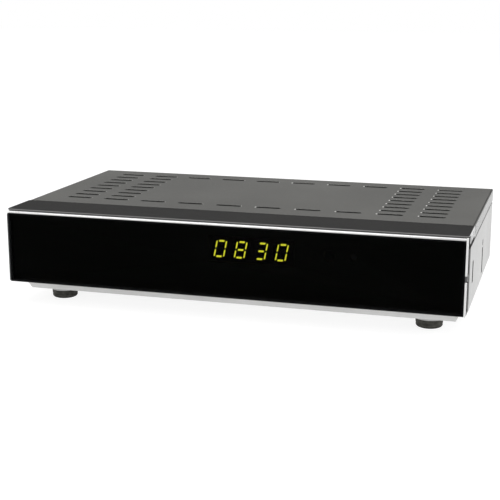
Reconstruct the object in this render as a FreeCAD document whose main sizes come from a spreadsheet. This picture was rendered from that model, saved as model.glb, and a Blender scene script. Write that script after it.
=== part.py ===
import FreeCAD, Part
import math
import os
import re

import Sketcher

# A compact satellite receiver: a folded sheet-steel case with a gloss front.
# +X runs to the right as seen from the front, the front faces -Y, and +Z is up. The origin lies on
# the floor, in the middle of the outer box, which runs from the window to the tips of the rear
# sockets. All sizes are in millimetres.

SIZES = {
    # case
    "bezel_width": 280.0,
    "case_depth": 156.0,
    "cover_overhang": 0.3,
    "steel": 0.8,
    "seam": 0.2,
    "bend_radius": 1.2,
    "side_front": 12.4,
    "flange_gap": 1.1,
    "lid_drop": 7.8,
    "lip_height": 5.5,
    "tongue_depth": 5.0,
    "tab_radius": 3.0,
    "relief_y": 7.0,
    "relief_width": 1.5,
    "relief_low": 2.0,
    "cover_screw_inset": 10.7,
    # drawn pan and feet
    "pan_drop": 7.5,
    "pan_inset": 7.0,
    "pan_front": 16.0,
    "pan_rear": 9.5,
    "pan_slope": 3.5,
    "ledge_front": 10.0,
    "foot_height": 7.5,
    "foot_radius": 8.3,
    "foot_taper": 0.5,
    "foot_inset": 23.6,
    "foot_front": 28.9,
    "foot_rear": 28.0,
    "foot_recess_depth": 4.0,
    "foot_recess_gap": 0.6,
    # vent slots in the lid
    "slot_length": 16.0,
    "slot_width": 3.2,
    "slot_rim": 0.35,
    "slot_columns": 10,
    "slot_rows": 9,
    "slot_block": 2,
    "slot_side": 26.9,
    "slot_front": 48.9,
    "slot_rear": 16.1,
    # side vents
    "side_slot_width": 5.0,
    "front_vent_y": 30.5,
    "front_vent_low": 12.5,
    "front_vent_high": 25.5,
    "rear_vent_y": 92.0,
    "rear_vent_low": 3.4,
    "rear_vent_high": 19.8,
    "rear_hole_gap": 1.0,
    "rear_hole_radius": 2.1,
    # front
    "trim_depth": 8.0,
    "trim_wall": 1.0,
    "trim_setback": 0.2,
    "strip_height": 1.4,
    "strip_roll": 1.0,
    "strip_gap": 0.3,
    "window_height": 43.3,
    "window_thick": 2.0,
    "window_corner": 1.2,
    "window_bevel": 0.4,
    "window_gap": 0.1,
    "tape_thick": 0.4,
    "tape_border": 1.5,
    "frame_wall": 2.0,
    "frame_inset": 1.4,
    "frame_depth": 29.0,
    "band_depth": 30.6,
    "band_thick": 1.8,
    "band_lip": 0.8,
    "band_nose": 0.6,
    "band_setback": 1.0,
    "band_corner": 1.4,
    "latch_width": 3.0,
    "latch_y": 16.0,
    "groove_y": 24.5,
    "groove_width": 1.2,
    "groove_depth": 0.6,
    # display
    "display_x": 15.4,
    "display_drop": 14.0,
    "digit_height": 10.4,
    "digit_width": 6.5,
    "digit_pitch": 12.4,
    "digit_slant": 2.1,
    "bar_width": 1.05,
    "bar_reach": 1.7,
    "post_width": 0.75,
    "post_gap": 0.5,
    "post_drop": 0.5,
    "segment_tip": 0.25,
    "segment_thick": 0.3,
    "dot_radius": 0.6,
    "dot_rise": 2.0,
    "module_margin": 2.7,
    "module_rim": 2.4,
    "module_depth": 6.5,
    "module_setback": 0.6,
    "opening_margin": 0.6,
    "display_margin": 20.3,
    "display_gap": 7.1,
    "display_low": 3.5,
    "display_high": 4.2,
    "boss_radius": 3.0,
    "infrared_offset": 46.6,
    "infrared_radius": 3.0,
    "infrared_step": 0.2,
    "led_offset": 60.6,
    "led_radius": 1.5,
    "led_collar": 0.4,
    "led_collar_height": 1.0,
    # standby button
    "button_height": 21.5,
    "button_size": 3.4,
    "button_gap": 0.3,
    "button_travel": 0.5,
    "button_proud": 0.2,
    "button_head": 1.8,
    "button_stem": 2.2,
    "switch_axis": 2.8,
    "switch_body": 4.4,
    "switch_length": 6.2,
    "plunger_radius": 0.9,
    "plunger_reach": 1.4,
    # boards, standoffs and screws
    "board_thick": 1.6,
    "standoff_height": 9.0,
    "standoff_radius": 2.5,
    "standoff_floor": 1.0,
    "board_edge": 6.0,
    "board_front": 40.0,
    "board_gap": 8.0,
    "side_clear": 3.5,
    "rear_clear": 0.6,
    "power_width": 50.0,
    "power_rear": 24.0,
    "screw_radius": 1.45,
    "screw_clear": 0.1,
    "screw_head_radius": 2.8,
    "screw_head_height": 1.8,
    "screw_length": 6.0,
    "screw_head_gap": 1.0,
    "recess_radius": 1.5,
    "recess_width": 0.5,
    "recess_depth": 0.9,
    # aerial sockets
    "fit": 0.2,
    "contact_fit": 0.01,
    "thread_reach": 10.0,
    "thread_radius": 4.7,
    "thread_chamfer": 0.5,
    "neck_radius": 5.2,
    "neck_proud": 0.6,
    "nut_thick": 2.2,
    "nut_flats": 13.0,
    "bore_radius": 3.2,
    "contact_radius": 0.6,
    "contact_depth": 10.0,
    "insulator_setback": 1.0,
    "tuner_inset": 2.0,
    "tuner_width": 46.0,
    "tuner_length": 52.0,
    "tuner_height": 17.0,
    "can_wall": 0.5,
    "socket_root": 1.0,
    "lnb_pitch": 20.0,
    # other rear sockets
    "row_margin": 4.5,
    "scart_width": 47.0,
    "scart_height": 14.0,
    "scart_slant": 3.0,
    "scart_depth": 20.0,
    "scart_lift": 3.0,
    "shell_wall": 1.0,
    "insert_setback": 2.0,
    "insert_foot": 4.0,
    "core_gap": 2.2,
    "slit_pitch": 3.9,
    "slit_width": 1.9,
    "slit_height": 1.6,
    "slit_row": 1.6,
    "hdmi_width": 15.0,
    "hdmi_height": 5.6,
    "hdmi_depth": 11.0,
    "hdmi_lift": 0.6,
    "socket_wall": 0.4,
    "tongue_thick": 1.2,
    "tongue_gap": 1.0,
    "tongue_setback": 1.0,
    "phono_pitch": 13.0,
    "phono_radius": 4.15,
    "phono_neck_step": 0.2,
    "phono_wall": 0.6,
    "phono_bore": 1.7,
    "phono_reach": 8.0,
    "phono_depth": 12.0,
    "phono_height": 13.0,
    "phono_side": 1.6,
    "ethernet_width": 16.0,
    "ethernet_height": 13.5,
    "ethernet_depth": 16.0,
    "port_wall": 1.6,
    "usb_width": 13.2,
    "usb_height": 5.8,
    "usb_depth": 14.0,
    # mains side
    "mains_height": 22.0,
    "rocker_inset": 5.5,
    "mains_gap": 1.7,
    "inlet_width": 25.0,
    "inlet_body": 13.0,
    "inlet_depth": 18.0,
    "inlet_lug": 3.0,
    "flange_thick": 1.6,
    "inlet_mouth": 8.6,
    "inlet_waist": 7.4,
    "inlet_mouth_depth": 14.0,
    "pin_spacing": 8.6,
    "pin_radius": 1.2,
    "pin_setback": 3.0,
    "rocker_width": 10.0,
    "rocker_length": 15.0,
    "rocker_depth": 5.0,
    "rocker_tilt": 9.0,
    "rocker_gap": 0.6,
    "rocker_room": 2.0,
    "housing_wall": 1.6,
    "housing_rim": 1.6,
    "housing_depth": 16.0,
    # parts on the main board
    "processor_size": 27.0,
    "processor_thick": 2.0,
    "processor_shift": 9.0,
    "fin_thick": 1.2,
    "fin_pitch": 4.0,
    "fin_height": 10.0,
    "fin_count": 7,
    "fin_base": 2.0,
    "memory_width": 11.0,
    "memory_length": 12.0,
    "memory_thick": 1.2,
    "memory_gap": 4.5,
    "small_radius": 4.0,
    "small_height": 12.0,
    "small_pitch": 13.0,
    "small_count": 4,
    "front_row": 12.0,
    "groove_rise": 3.0,
    "groove_bead": 0.6,
    "groove_inset": 0.2,
    "header_length": 10.0,
    "header_width": 6.0,
    "header_height": 6.0,
    "header_wall": 1.5,
    # parts on the power board
    "film_thick": 0.4,
    "film_edge": 4.0,
    "transformer_size": 24.0,
    "transformer_height": 20.0,
    "transformer_step": 4.0,
    "bulk_radius": 9.0,
    "bulk_height": 25.0,
    "bulk_inset": 14.0,
    "bulk_rear": 19.0,
    "output_pitch": 11.0,
    "output_height": 16.0,
    "output_count": 3,
    "sink_thick": 3.0,
    "sink_length": 20.0,
    "sink_height": 24.0,
    "sink_flag": 7.5,
    "sink_inset": 8.0,
    "fuse_radius": 2.6,
    "fuse_length": 18.0,
    "fuse_rise": 4.0,
    "fuse_inset": 12.0,
    "clip_length": 4.0,
    "clip_width": 6.4,
    "clip_height": 7.0,
    # cables inside the case
    "wire_radius": 0.7,
    "wire_pitch": 2.0,
    "harness_y": 88.0,
    "harness_rise": 16.0,
    "lead_drop": 10.0,
    "ribbon_width": 20.0,
    "ribbon_thick": 0.5,
    "ribbon_end": 2.0,
}

doc = FreeCAD.newDocument("receiver")
sheet = doc.addObject("Spreadsheet::Sheet", "sizes")
for row, (alias, size) in enumerate(SIZES.items(), 1):
    sheet.set(f"A{row}", alias)
    sheet.set(f"B{row}", str(size))
    sheet.setAlias(f"B{row}", alias)
doc.recompute()

ruler = doc.addObject("App::FeaturePython", "ruler")
ruler.addProperty("App::PropertyFloat", "reading")

# ---------------------------------------------------------------- named places, as expressions
SIDE = "(bezel_width / 2 + cover_overhang)"
CHEEK = "(bezel_width / 2)"
FRONT = "(-(case_depth + thread_reach) / 2)"
REAR = f"({FRONT} + case_depth)"
PANEL_BACK = f"({REAR} - steel - seam)"
PANEL_FRONT = f"({PANEL_BACK} - steel)"
LEDGE = "(foot_height + pan_drop)"
WINDOW_TOP = f"({LEDGE} + window_height)"
STRIP_LOW = f"({WINDOW_TOP} + window_gap)"
STRIP_TOP = f"({STRIP_LOW} + strip_height)"
TOP = f"({STRIP_TOP} + strip_gap + band_lip)"
WALL_TOP = f"({TOP} - lid_drop - flange_gap)"
FLOOR = "(foot_height + steel)"
BOARD = f"({FLOOR} + standoff_height)"
BOARD_TOP = f"({BOARD} + board_thick)"
LID_FRONT = f"({FRONT} + band_depth + seam)"
WINDOW_SIDE = f"({CHEEK} - trim_wall - window_gap)"
WINDOW_BACK = f"({FRONT} + window_thick)"
FRAME_FRONT = f"({WINDOW_BACK} + tape_thick)"
FRAME_BACK = f"({FRAME_FRONT} + frame_wall)"
FRAME_SIDE = f"({CHEEK} - trim_wall - frame_inset)"
FRAME_FLOOR = f"({LEDGE} + steel + seam)"
TRIM_BACK = f"({FRONT} + trim_depth)"
WEB_FRONT = f"({TRIM_BACK} + seam)"
WEB_BACK = f"({WEB_FRONT} + frame_wall)"
WING_LOW = f"({WALL_TOP} + seam)"
MODULE_FACE = f"({FRAME_FRONT} + module_setback)"
DISPLAY_FRONT = f"({MODULE_FACE} + module_depth)"
DISPLAY_BACK = f"({DISPLAY_FRONT} + board_thick)"
DISPLAY_Z = f"({WINDOW_TOP} - display_drop)"
MODULE_HALF = "((3 * digit_pitch + digit_width + digit_slant) / 2 + module_margin)"
MODULE_RISE = "(digit_height / 2 + module_rim)"
DISPLAY_LEFT = f"(display_x - {MODULE_HALF} - display_margin)"
DISPLAY_RIGHT = f"({FRAME_SIDE} - frame_wall - display_gap)"
INFRARED_X = "(display_x + infrared_offset)"
LED_X = "(display_x + led_offset)"
BUTTON_Z = f"({LEDGE} + button_height)"
BUTTON_Y = f"({DISPLAY_FRONT} - switch_axis)"
HOLE_RADIUS = "(screw_radius + screw_clear)"
BOARD_FRONT = f"({FRONT} + board_front)"
BOARD_REAR = f"({PANEL_FRONT} - rear_clear)"
BOARD_SIDE = f"({SIDE} - steel - side_clear)"
POWER_LEFT = f"(-{BOARD_SIDE})"
POWER_RIGHT = f"({POWER_LEFT} + power_width)"
POWER_REAR = f"({PANEL_FRONT} - power_rear)"
POWER_ROW = f"({POWER_REAR} - board_edge)"
MAIN_LEFT = f"({POWER_RIGHT} + board_gap)"
TUNER_RIGHT = f"({BOARD_SIDE} - tuner_inset)"
TUNER_LEFT = f"({TUNER_RIGHT} - tuner_width)"
LNB_Z = f"({BOARD_TOP} + tuner_height / 2)"
PHONO_WIDTH = "(2 * (phono_pitch + phono_radius + phono_side))"
PHONO_Z = f"({BOARD_TOP} + phono_height / 2)"
SCART_Z = f"({BOARD_TOP} + scart_lift + scart_height / 2)"
HDMI_Z = f"({BOARD_TOP} + hdmi_lift + hdmi_height / 2)"
ETHERNET_Z = f"({BOARD_TOP} + ethernet_height / 2)"
USB_Z = f"({BOARD_TOP} + usb_height / 2)"
SOCKET_MOUTH = f"({REAR} + seam)"
MAINS_Z = f"({LEDGE} + mains_height)"
HOUSING_HALF_X = "(rocker_width / 2 + rocker_gap + housing_wall)"
HOUSING_HALF_Z = "(rocker_length / 2 + rocker_gap + housing_wall)"
HOUSING_REACH = f"({HOUSING_HALF_X} + housing_rim)"
INLET_REACH = "(inlet_width / 2 + inlet_lug)"
ROCKER_X = f"(-({SIDE} - steel - seam) + rocker_inset + {HOUSING_REACH})"
INLET_X = f"({ROCKER_X} + {HOUSING_REACH} + mains_gap + {INLET_REACH})"
FLANGE_BACK = f"({PANEL_BACK} + flange_thick)"
PIVOT_Y = f"({PANEL_BACK} + flange_thick / 2)"

# the sockets between the board's left edge and the tuner share out the room left between them
SOCKET_WIDTHS = ["scart_width", "hdmi_width", PHONO_WIDTH, "ethernet_width", "usb_width"]
ROW_START = f"({MAIN_LEFT} + row_margin)"
ROW_ROOM = f"({TUNER_LEFT} - {ROW_START} - ({' + '.join(SOCKET_WIDTHS)}))"


def row_middle(index):
    """The middle of one socket of the row, counted from the left end as seen from the front."""
    before = " + ".join(["0"] + SOCKET_WIDTHS[:index])
    gaps = f"{index} * {ROW_ROOM} / {len(SOCKET_WIDTHS)}"
    return f"({ROW_START} + {before} + {gaps} + {SOCKET_WIDTHS[index]} / 2)"


SCART_X, HDMI_X, PHONO_X, ETHERNET_X, USB_X = [row_middle(i) for i in range(len(SOCKET_WIDTHS))]

PAST = "1"  # how far a cutter reaches past a face that it opens
FACING = {
    "+Z": (FreeCAD.Vector(1, 0, 0), 0),
    "-Z": (FreeCAD.Vector(1, 0, 0), 180),
    "+Y": (FreeCAD.Vector(1, 0, 0), -90),
    "-Y": (FreeCAD.Vector(1, 0, 0), 90),
    "+X": (FreeCAD.Vector(0, 1, 0), 90),
}
NEAR = 0.01  # how close an edge lies to the place that picks it
WIRE_BEND_SHARE = 0.45  # how much of the shorter run an arc of a wire takes


# ---------------------------------------------------------------- helpers
def qualify(expression):
    """Puts the sheet's name before every alias in an expression."""
    return re.sub(r"[A-Za-z_]\w*", lambda m: f"sizes.{m[0]}" if m[0] in SIZES else m[0], expression)


def bind(thing, prop, expression):
    """Binds a property of an object to an expression over the sheet's aliases."""
    thing.setExpression(prop, qualify(expression))


def value(expression):
    """The number that an expression over the sheet's aliases has now."""
    bind(ruler, "reading", expression)
    ruler.recompute()
    return ruler.reading


def locate(thing, x, y, z):
    """Binds an object's place."""
    for axis, expression in zip("xyz", (x, y, z)):
        bind(thing, f"Placement.Base.{axis}", expression)
    return thing


def face(thing, facing):
    """Turns an object's own Z axis the way it faces."""
    thing.Placement = FreeCAD.Placement(FreeCAD.Vector(), FreeCAD.Rotation(*FACING[facing]))


def about(centre, half):
    """The lowest and highest value of a span with this centre and half-width."""
    return (f"({centre}) - ({half})", f"({centre}) + ({half})")


def rising(start, length):
    """The lowest and highest value of a span that starts here."""
    return (start, f"({start}) + ({length})")


def through(span):
    """A span grown past both of its ends, for a cutter."""
    return (f"({span[0]}) - {PAST}", f"({span[1]}) + {PAST}")


def block(name, x, y, z):
    """A box given by its lowest and highest x, y and z."""
    solid = doc.addObject("Part::Box", name)
    for prop, (low, high) in zip(("Length", "Width", "Height"), (x, y, z)):
        bind(solid, prop, f"({high}) - ({low})")
    return locate(solid, x[0], y[0], z[0])


def rod(name, radius, length, at, facing="+Z"):
    """A cylinder that starts at a point and runs the way it faces."""
    solid = doc.addObject("Part::Cylinder", name)
    bind(solid, "Radius", radius)
    bind(solid, "Height", length)
    face(solid, facing)
    return locate(solid, *at)


def drill(radius, depth, at, facing="+Z"):
    """A round cutter that starts before the face it opens."""
    axis = "XYZ".index(facing[1])
    start = list(at)
    start[axis] = f"({at[axis]}) {'-' if facing[0] == '+' else '+'} {PAST}"
    return rod("drill", radius, f"({depth}) + 2 * {PAST}", start, facing)


def fuse(name, solids):
    """One solid from several."""
    joined = doc.addObject("Part::MultiFuse", name)
    joined.Shapes = solids
    joined.Refine = True
    return joined


def cut(name, base, tools):
    """A solid with others taken out of it."""
    result = doc.addObject("Part::Cut", name)
    result.Base = base
    result.Tool = tools[0] if len(tools) == 1 else fuse(f"{name}_tools", tools)
    return result


def group(name, solids):
    """Several separate solids kept as one object."""
    bundle = doc.addObject("Part::Compound", name)
    bundle.Links = solids
    return bundle


def mirrored(source):
    """A copy of a solid on the other side of the middle plane x = 0."""
    copy = doc.addObject("Part::Mirroring", f"{source.Name}_mirrored")
    copy.Source = source
    copy.Base = FreeCAD.Vector(0, 0, 0)
    copy.Normal = FreeCAD.Vector(1, 0, 0)
    return copy


def both_sides(solids):
    """Solids of the right side together with their mirror images."""
    return solids + [mirrored(solid) for solid in solids]


def new_body(name):
    """A part-design body."""
    return doc.addObject("PartDesign::Body", name)


def new_sketch(body, name, plane, offset):
    """A sketch on one of the body's own origin planes, moved along its normal."""
    sketch = body.newObject("Sketcher::SketchObject", name)
    own_plane = next(f for f in body.Origin.OriginFeatures if f.Role == plane)
    sketch.AttachmentSupport = [(own_plane, "")]
    sketch.MapMode = "FlatFace"
    bind(sketch, "AttachmentOffset.Base.z", offset)
    return sketch


def pin_point(sketch, geometry, end, name, x, y):
    """Ties a point of the sketch to the origin by two named distances."""
    for kind, axis, expression in (("DistanceX", "x", x), ("DistanceY", "y", y)):
        start = getattr(sketch.getPoint(geometry, end), axis)
        index = sketch.addConstraint(Sketcher.Constraint(kind, -1, 1, geometry, end, start))
        sketch.renameConstraint(index, f"{name}_{axis}")
        bind(sketch, f"Constraints.{name}_{axis}", expression)


def outline(body, name, plane, offset, points):
    """A closed polygon whose corners are all given by expressions."""
    sketch = new_sketch(body, name, plane, offset)
    corners = [FreeCAD.Vector(value(x), value(y), 0) for x, y in points]
    count = len(corners)
    for i in range(count):
        sketch.addGeometry(Part.LineSegment(corners[i], corners[(i + 1) % count]), False)
    for i in range(count):
        sketch.addConstraint(Sketcher.Constraint("Coincident", i, 2, (i + 1) % count, 1))
    for i, (x, y) in enumerate(points):
        pin_point(sketch, i, 1, f"corner{i}", x, y)
    return sketch


def slot_outline(body, name, offset, centre, length, width):
    """A slot with round ends along X, on the body's XY plane."""
    sketch = new_sketch(body, name, "XY_Plane", offset)
    reach = f"(({length}) - ({width})) / 2"
    x, y, half, radius = (value(e) for e in (*centre, reach, f"({width}) / 2"))
    left = FreeCAD.Vector(x - half, y, 0)
    right = FreeCAD.Vector(x + half, y, 0)
    up = FreeCAD.Vector(0, radius, 0)
    normal = FreeCAD.Vector(0, 0, 1)
    quarter = math.pi / 2
    sketch.addGeometry(Part.LineSegment(left + up, right + up), False)
    sketch.addGeometry(Part.ArcOfCircle(Part.Circle(right, normal, radius), -quarter, quarter), False)
    sketch.addGeometry(Part.LineSegment(right - up, left - up), False)
    sketch.addGeometry(Part.ArcOfCircle(Part.Circle(left, normal, radius), quarter, 3 * quarter), False)
    for joint in ((0, 2, 1, 2), (1, 1, 2, 1), (2, 2, 3, 2), (3, 1, 0, 1)):
        sketch.addConstraint(Sketcher.Constraint("Tangent", *joint))
    sketch.addConstraint(Sketcher.Constraint("Equal", 1, 3))
    pin_point(sketch, 1, 3, "right", f"({centre[0]}) + {reach}", centre[1])
    pin_point(sketch, 3, 3, "left", f"({centre[0]}) - {reach}", centre[1])
    index = sketch.addConstraint(Sketcher.Constraint("Radius", 1, radius))
    sketch.renameConstraint(index, "end_radius")
    bind(sketch, "Constraints.end_radius", f"({width}) / 2")
    return sketch


def pad(body, sketch, length):
    """Raises a sketch along its normal."""
    feature = body.newObject("PartDesign::Pad", f"{body.Name}_pad")
    feature.Profile = sketch
    bind(feature, "Length", length)
    return feature


def turned(name, points, at, facing="+Z"):
    """A body turned about its own Z axis from a half profile, then faced and placed."""
    body = new_body(name)
    sketch = outline(body, f"{name}_profile", "XZ_Plane", "0", points)
    feature = body.newObject("PartDesign::Revolution", f"{name}_turn")
    feature.Profile = sketch
    feature.ReferenceAxis = (sketch, ["V_Axis"])
    face(body, facing)
    return locate(body, *at)


def edges_where(shape, test):
    """Names of the edges whose ends both pass a test."""
    names = []
    for number, edge in enumerate(shape.Edges, 1):
        if len(edge.Vertexes) == 2 and all(test(vertex.Point) for vertex in edge.Vertexes):
            names.append(f"Edge{number}")
    return names


def screw(name, at, facing, length="screw_length"):
    """A pan-head screw with a cross recess; its place is the middle of the seat under its head."""
    axis = "XYZ".index(facing[1])
    behind = {"+": "-", "-": "+"}[facing[0]] + facing[1]
    head = rod(f"{name}_head", "screw_head_radius", "screw_head_height", at, facing)
    shank = rod(f"{name}_shank", "screw_radius", length, at, behind)
    crown = f"({at[axis]}) {facing[0]} screw_head_height"
    depth = [f"{crown} - recess_depth", f"{crown} + recess_depth"]
    wings = []
    for long_axis in [i for i in range(3) if i != axis]:
        spans = [about(place, "recess_width / 2") for place in at]
        spans[long_axis] = about(at[long_axis], "recess_radius")
        spans[axis] = depth
        wings.append(block(f"{name}_recess", *spans))
    return cut(name, fuse(f"{name}_solid", [head, shank]), wings)


def screws(name, spots, facing, length="screw_length"):
    """A group of equal screws."""
    return group(name, [screw(f"{name}_{i}", spot, facing, length) for i, spot in enumerate(spots)])


PARTS = []


def keep(name, solid):
    """Labels an object as a sub-part, so that it is written under this name."""
    solid.Label = name
    PARTS.append(solid)


# ---------------------------------------------------------------- front
def front_openings(span):
    """Cutters for the display, the infrared receiver and the status lamp."""
    x = about("display_x", f"{MODULE_HALF} + opening_margin")
    z = about(DISPLAY_Z, f"{MODULE_RISE} + opening_margin")
    depth = f"({span[1]}) - ({span[0]})"
    eye = drill("infrared_radius + opening_margin", depth, (INFRARED_X, span[0], DISPLAY_Z), "+Y")
    lamp = drill("led_radius + opening_margin", depth, (LED_X, span[0], DISPLAY_Z), "+Y")
    return [block("display_opening", x, through(span), z), eye, lamp]


def make_window():
    """Gloss acrylic plate with bevelled front edges, which laps over the left cheek."""
    body = new_body("window_body")
    low = f"{LEDGE} + window_gap"
    left = f"-{SIDE}"
    corners = [(left, low), (WINDOW_SIDE, low), (WINDOW_SIDE, WINDOW_TOP), (left, WINDOW_TOP)]
    sketch = outline(body, "window_outline", "XZ_Plane", f"-{WINDOW_BACK}", corners)
    plate = pad(body, sketch, "window_thick")
    doc.recompute()
    box = plate.Shape.BoundBox
    levels = (box.ZMin, box.ZMax)
    left_ends = []
    for level in levels:
        left_ends += edges_where(plate.Shape, lambda p: p.x < box.XMin + NEAR and abs(p.z - level) < NEAR)
    rounding = body.newObject("PartDesign::Fillet", "window_corners")
    rounding.Base = (plate, left_ends)
    bind(rounding, "Radius", "window_corner")
    doc.recompute()
    bevel = body.newObject("PartDesign::Chamfer", "window_edges")
    bevel.Base = (rounding, edges_where(rounding.Shape, lambda p: p.y < box.YMin + NEAR))
    bind(bevel, "Size", "window_bevel")
    keep("front_window", body)


def make_tape():
    """Black adhesive mask between the window and the frame."""
    x = (f"tape_border - {SIDE}", f"{WINDOW_SIDE} - tape_border")
    y = (WINDOW_BACK, FRAME_FRONT)
    z = (f"{LEDGE} + tape_border", f"{WINDOW_TOP} - tape_border")
    keep("window_tape", cut("tape_cut", block("tape_film", x, y, z), front_openings(y)))


def make_trim():
    """Silver strip with a cheek at each end; the right one is notched, the left one lies hidden."""
    y = (f"{FRONT} + trim_setback", TRIM_BACK)
    z = (LEDGE, STRIP_TOP)
    cheek = block("trim_cheek", (f"{CHEEK} - trim_wall", CHEEK), y, z)
    hidden = block("trim_hidden_cheek", (f"-{CHEEK}", f"trim_wall - {CHEEK}"), (FRAME_FRONT, TRIM_BACK), z)
    notch_x = through((f"{CHEEK} - trim_wall", CHEEK))
    notch_y = (f"{FRONT} - {PAST}", f"{TRIM_BACK} - trim_wall")
    notch = block("trim_notch", notch_x, notch_y, about(BUTTON_Z, "button_size / 2 + button_gap"))
    keep("bezel_trim", cut("trim_cut", fuse("trim_solid", [make_strip(y), cheek, hidden]), [notch]))


def make_strip(y):
    """The strip above the window, its upper front edge rolled back, between two depths."""
    body = new_body("trim_strip")
    corners = [(y[0], STRIP_LOW), (y[1], STRIP_LOW), (y[1], STRIP_TOP), (y[0], STRIP_TOP)]
    bar = pad(body, outline(body, "strip_outline", "YZ_Plane", f"-{CHEEK}", corners), "bezel_width")
    doc.recompute()
    box = bar.Shape.BoundBox
    upper = edges_where(bar.Shape, lambda p: p.y < box.YMin + NEAR and p.z > box.ZMax - NEAR)
    rounding = body.newObject("PartDesign::Fillet", "strip_rolled")
    rounding.Base = (bar, upper)
    bind(rounding, "Radius", "strip_roll")
    return body


def make_band_lip():
    """The thin front part of the band, with its front corners cut off and its edge rounded."""
    body = new_body("band_lip")
    front = f"({FRONT} + band_setback)"
    corners = [
        (f"-{SIDE}", f"{front} + band_corner"),
        (f"-{SIDE} + band_corner", front),
        (f"{SIDE} - band_corner", front),
        (SIDE, f"{front} + band_corner"),
        (SIDE, WEB_BACK),
        (f"-{SIDE}", WEB_BACK),
    ]
    sketch = outline(body, "band_lip_outline", "XY_Plane", f"{TOP} - band_lip", corners)
    plate = pad(body, sketch, "band_lip")
    doc.recompute()
    box = plate.Shape.BoundBox
    nose = edges_where(plate.Shape, lambda p: p.y < box.YMin + NEAR and p.z > box.ZMax - NEAR)
    rounding = body.newObject("PartDesign::Fillet", "band_lip_round")
    rounding.Base = (plate, nose)
    bind(rounding, "Radius", "band_nose")
    return body


def make_frame():
    """Dark plastic moulding: back plate, box flanges, bosses and the band along the top."""
    floor_z = rising(FRAME_FLOOR, "frame_wall")
    flange_y = (FRAME_FRONT, f"{FRONT} + frame_depth")
    inner_x = about("0", FRAME_SIDE)
    shelf_z = (f"{WINDOW_TOP} - frame_wall", WINDOW_TOP)
    band_y = (WEB_FRONT, f"{FRONT} + band_depth")
    solids = [
        block("frame_back", inner_x, (FRAME_FRONT, FRAME_BACK), (f"{LEDGE} + window_gap", WINDOW_TOP)),
        block("frame_floor", inner_x, flange_y, floor_z),
        block("frame_shelf", inner_x, (FRAME_FRONT, WEB_BACK), shelf_z),
        block("frame_web", about("0", SIDE), (WEB_FRONT, WEB_BACK), (shelf_z[0], TOP)),
        block("frame_band", about("0", SIDE), band_y, (f"{TOP} - band_thick", TOP)),
        make_band_lip(),
    ]
    flange_x = (f"{FRAME_SIDE} - frame_wall", FRAME_SIDE)
    wing_x = (f"{SIDE} - frame_wall", SIDE)
    solids += both_sides([
        block("frame_flange", flange_x, flange_y, (FRAME_FLOOR, f"{WINDOW_TOP} - 2 * seam")),
        block("frame_wing", wing_x, band_y, (WING_LOW, TOP)),
        block("frame_link", (flange_x[0], SIDE), (WEB_FRONT, WEB_BACK), (WING_LOW, WINDOW_TOP)),
    ])
    boss_start = f"({FRAME_BACK} - frame_wall / 2)"
    for x, z in display_screw_spots():
        length = f"{DISPLAY_FRONT} - {boss_start}"
        solids.append(rod("frame_boss", "boss_radius", length, (x, boss_start, z), "+Y"))
    post_low = f"({FLOOR} + seam)"
    for x, y in frame_screw_spots():
        length = f"{FRAME_FLOOR} + frame_wall / 2 - {post_low}"
        solids.append(rod("frame_post", "boss_radius", length, (x, y, post_low)))
    keep("front_frame", cut("frame_cut", fuse("frame_solid", solids), frame_cutters()))


def frame_cutters():
    """Openings, screw holes, the button's hole, the latches and the grooves of the frame."""
    tools = front_openings((FRAME_FRONT, FRAME_BACK))
    for x, z in display_screw_spots():
        depth = f"{DISPLAY_FRONT} - {FRAME_BACK} + {PAST}"
        tools.append(rod("boss_hole", HOLE_RADIUS, depth, (x, FRAME_BACK, z), "+Y"))
    for x, y in frame_screw_spots():
        tools.append(rod("post_hole", HOLE_RADIUS, "pan_drop", (x, y, FLOOR)))
    hole = "button_stem / 2 + button_gap"
    stem_x = through((f"{FRAME_SIDE} - frame_wall", FRAME_SIDE))
    tools.append(block("stem_hole", stem_x, about(BUTTON_Y, hole), about(BUTTON_Z, hole)))
    latch_x = through((f"{SIDE} - frame_wall", SIDE))
    latch_y = about(f"{FRONT} + latch_y", "latch_width / 2")
    latch_z = about(f"({WING_LOW} + {TOP}) / 2", "latch_width / 2")
    groove_x = (f"{SIDE} - groove_depth", f"{SIDE} + {PAST}")
    groove_y = about(f"{FRONT} + groove_y", "groove_width / 2")
    groove_z = (f"{WING_LOW} - {PAST}", f"{TOP} - band_thick")
    latch = block("frame_latch", latch_x, latch_y, latch_z)
    groove = block("frame_groove", groove_x, groove_y, groove_z)
    return tools + both_sides([latch, groove])


def display_screw_spots():
    """Where screws hold the display board to the frame's bosses, as x and z."""
    inset = "(screw_head_radius + screw_head_gap)"
    columns = (f"{DISPLAY_LEFT} + {inset}", f"{DISPLAY_RIGHT} - switch_length - {inset}")
    rows = (f"{LEDGE} + display_low + {inset}", f"{WINDOW_TOP} - display_high - {inset}")
    return [(x, z) for x in columns for z in rows]


def frame_screw_spots():
    """Where screws through the pan's floor hold the frame's posts, as x and y."""
    x = f"({FRAME_SIDE} - 2 * frame_wall - boss_radius - screw_head_gap)"
    y = f"({FRONT} + frame_depth - boss_radius - screw_head_gap)"
    return [(f"-{x}", y), (x, y)]


# ---------------------------------------------------------------- display
LIT = ("abcdef", "abcdefg", "abcdg", "abcdef")  # which segments of each digit are lit
SEGMENTS = "abcdefg"


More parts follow.
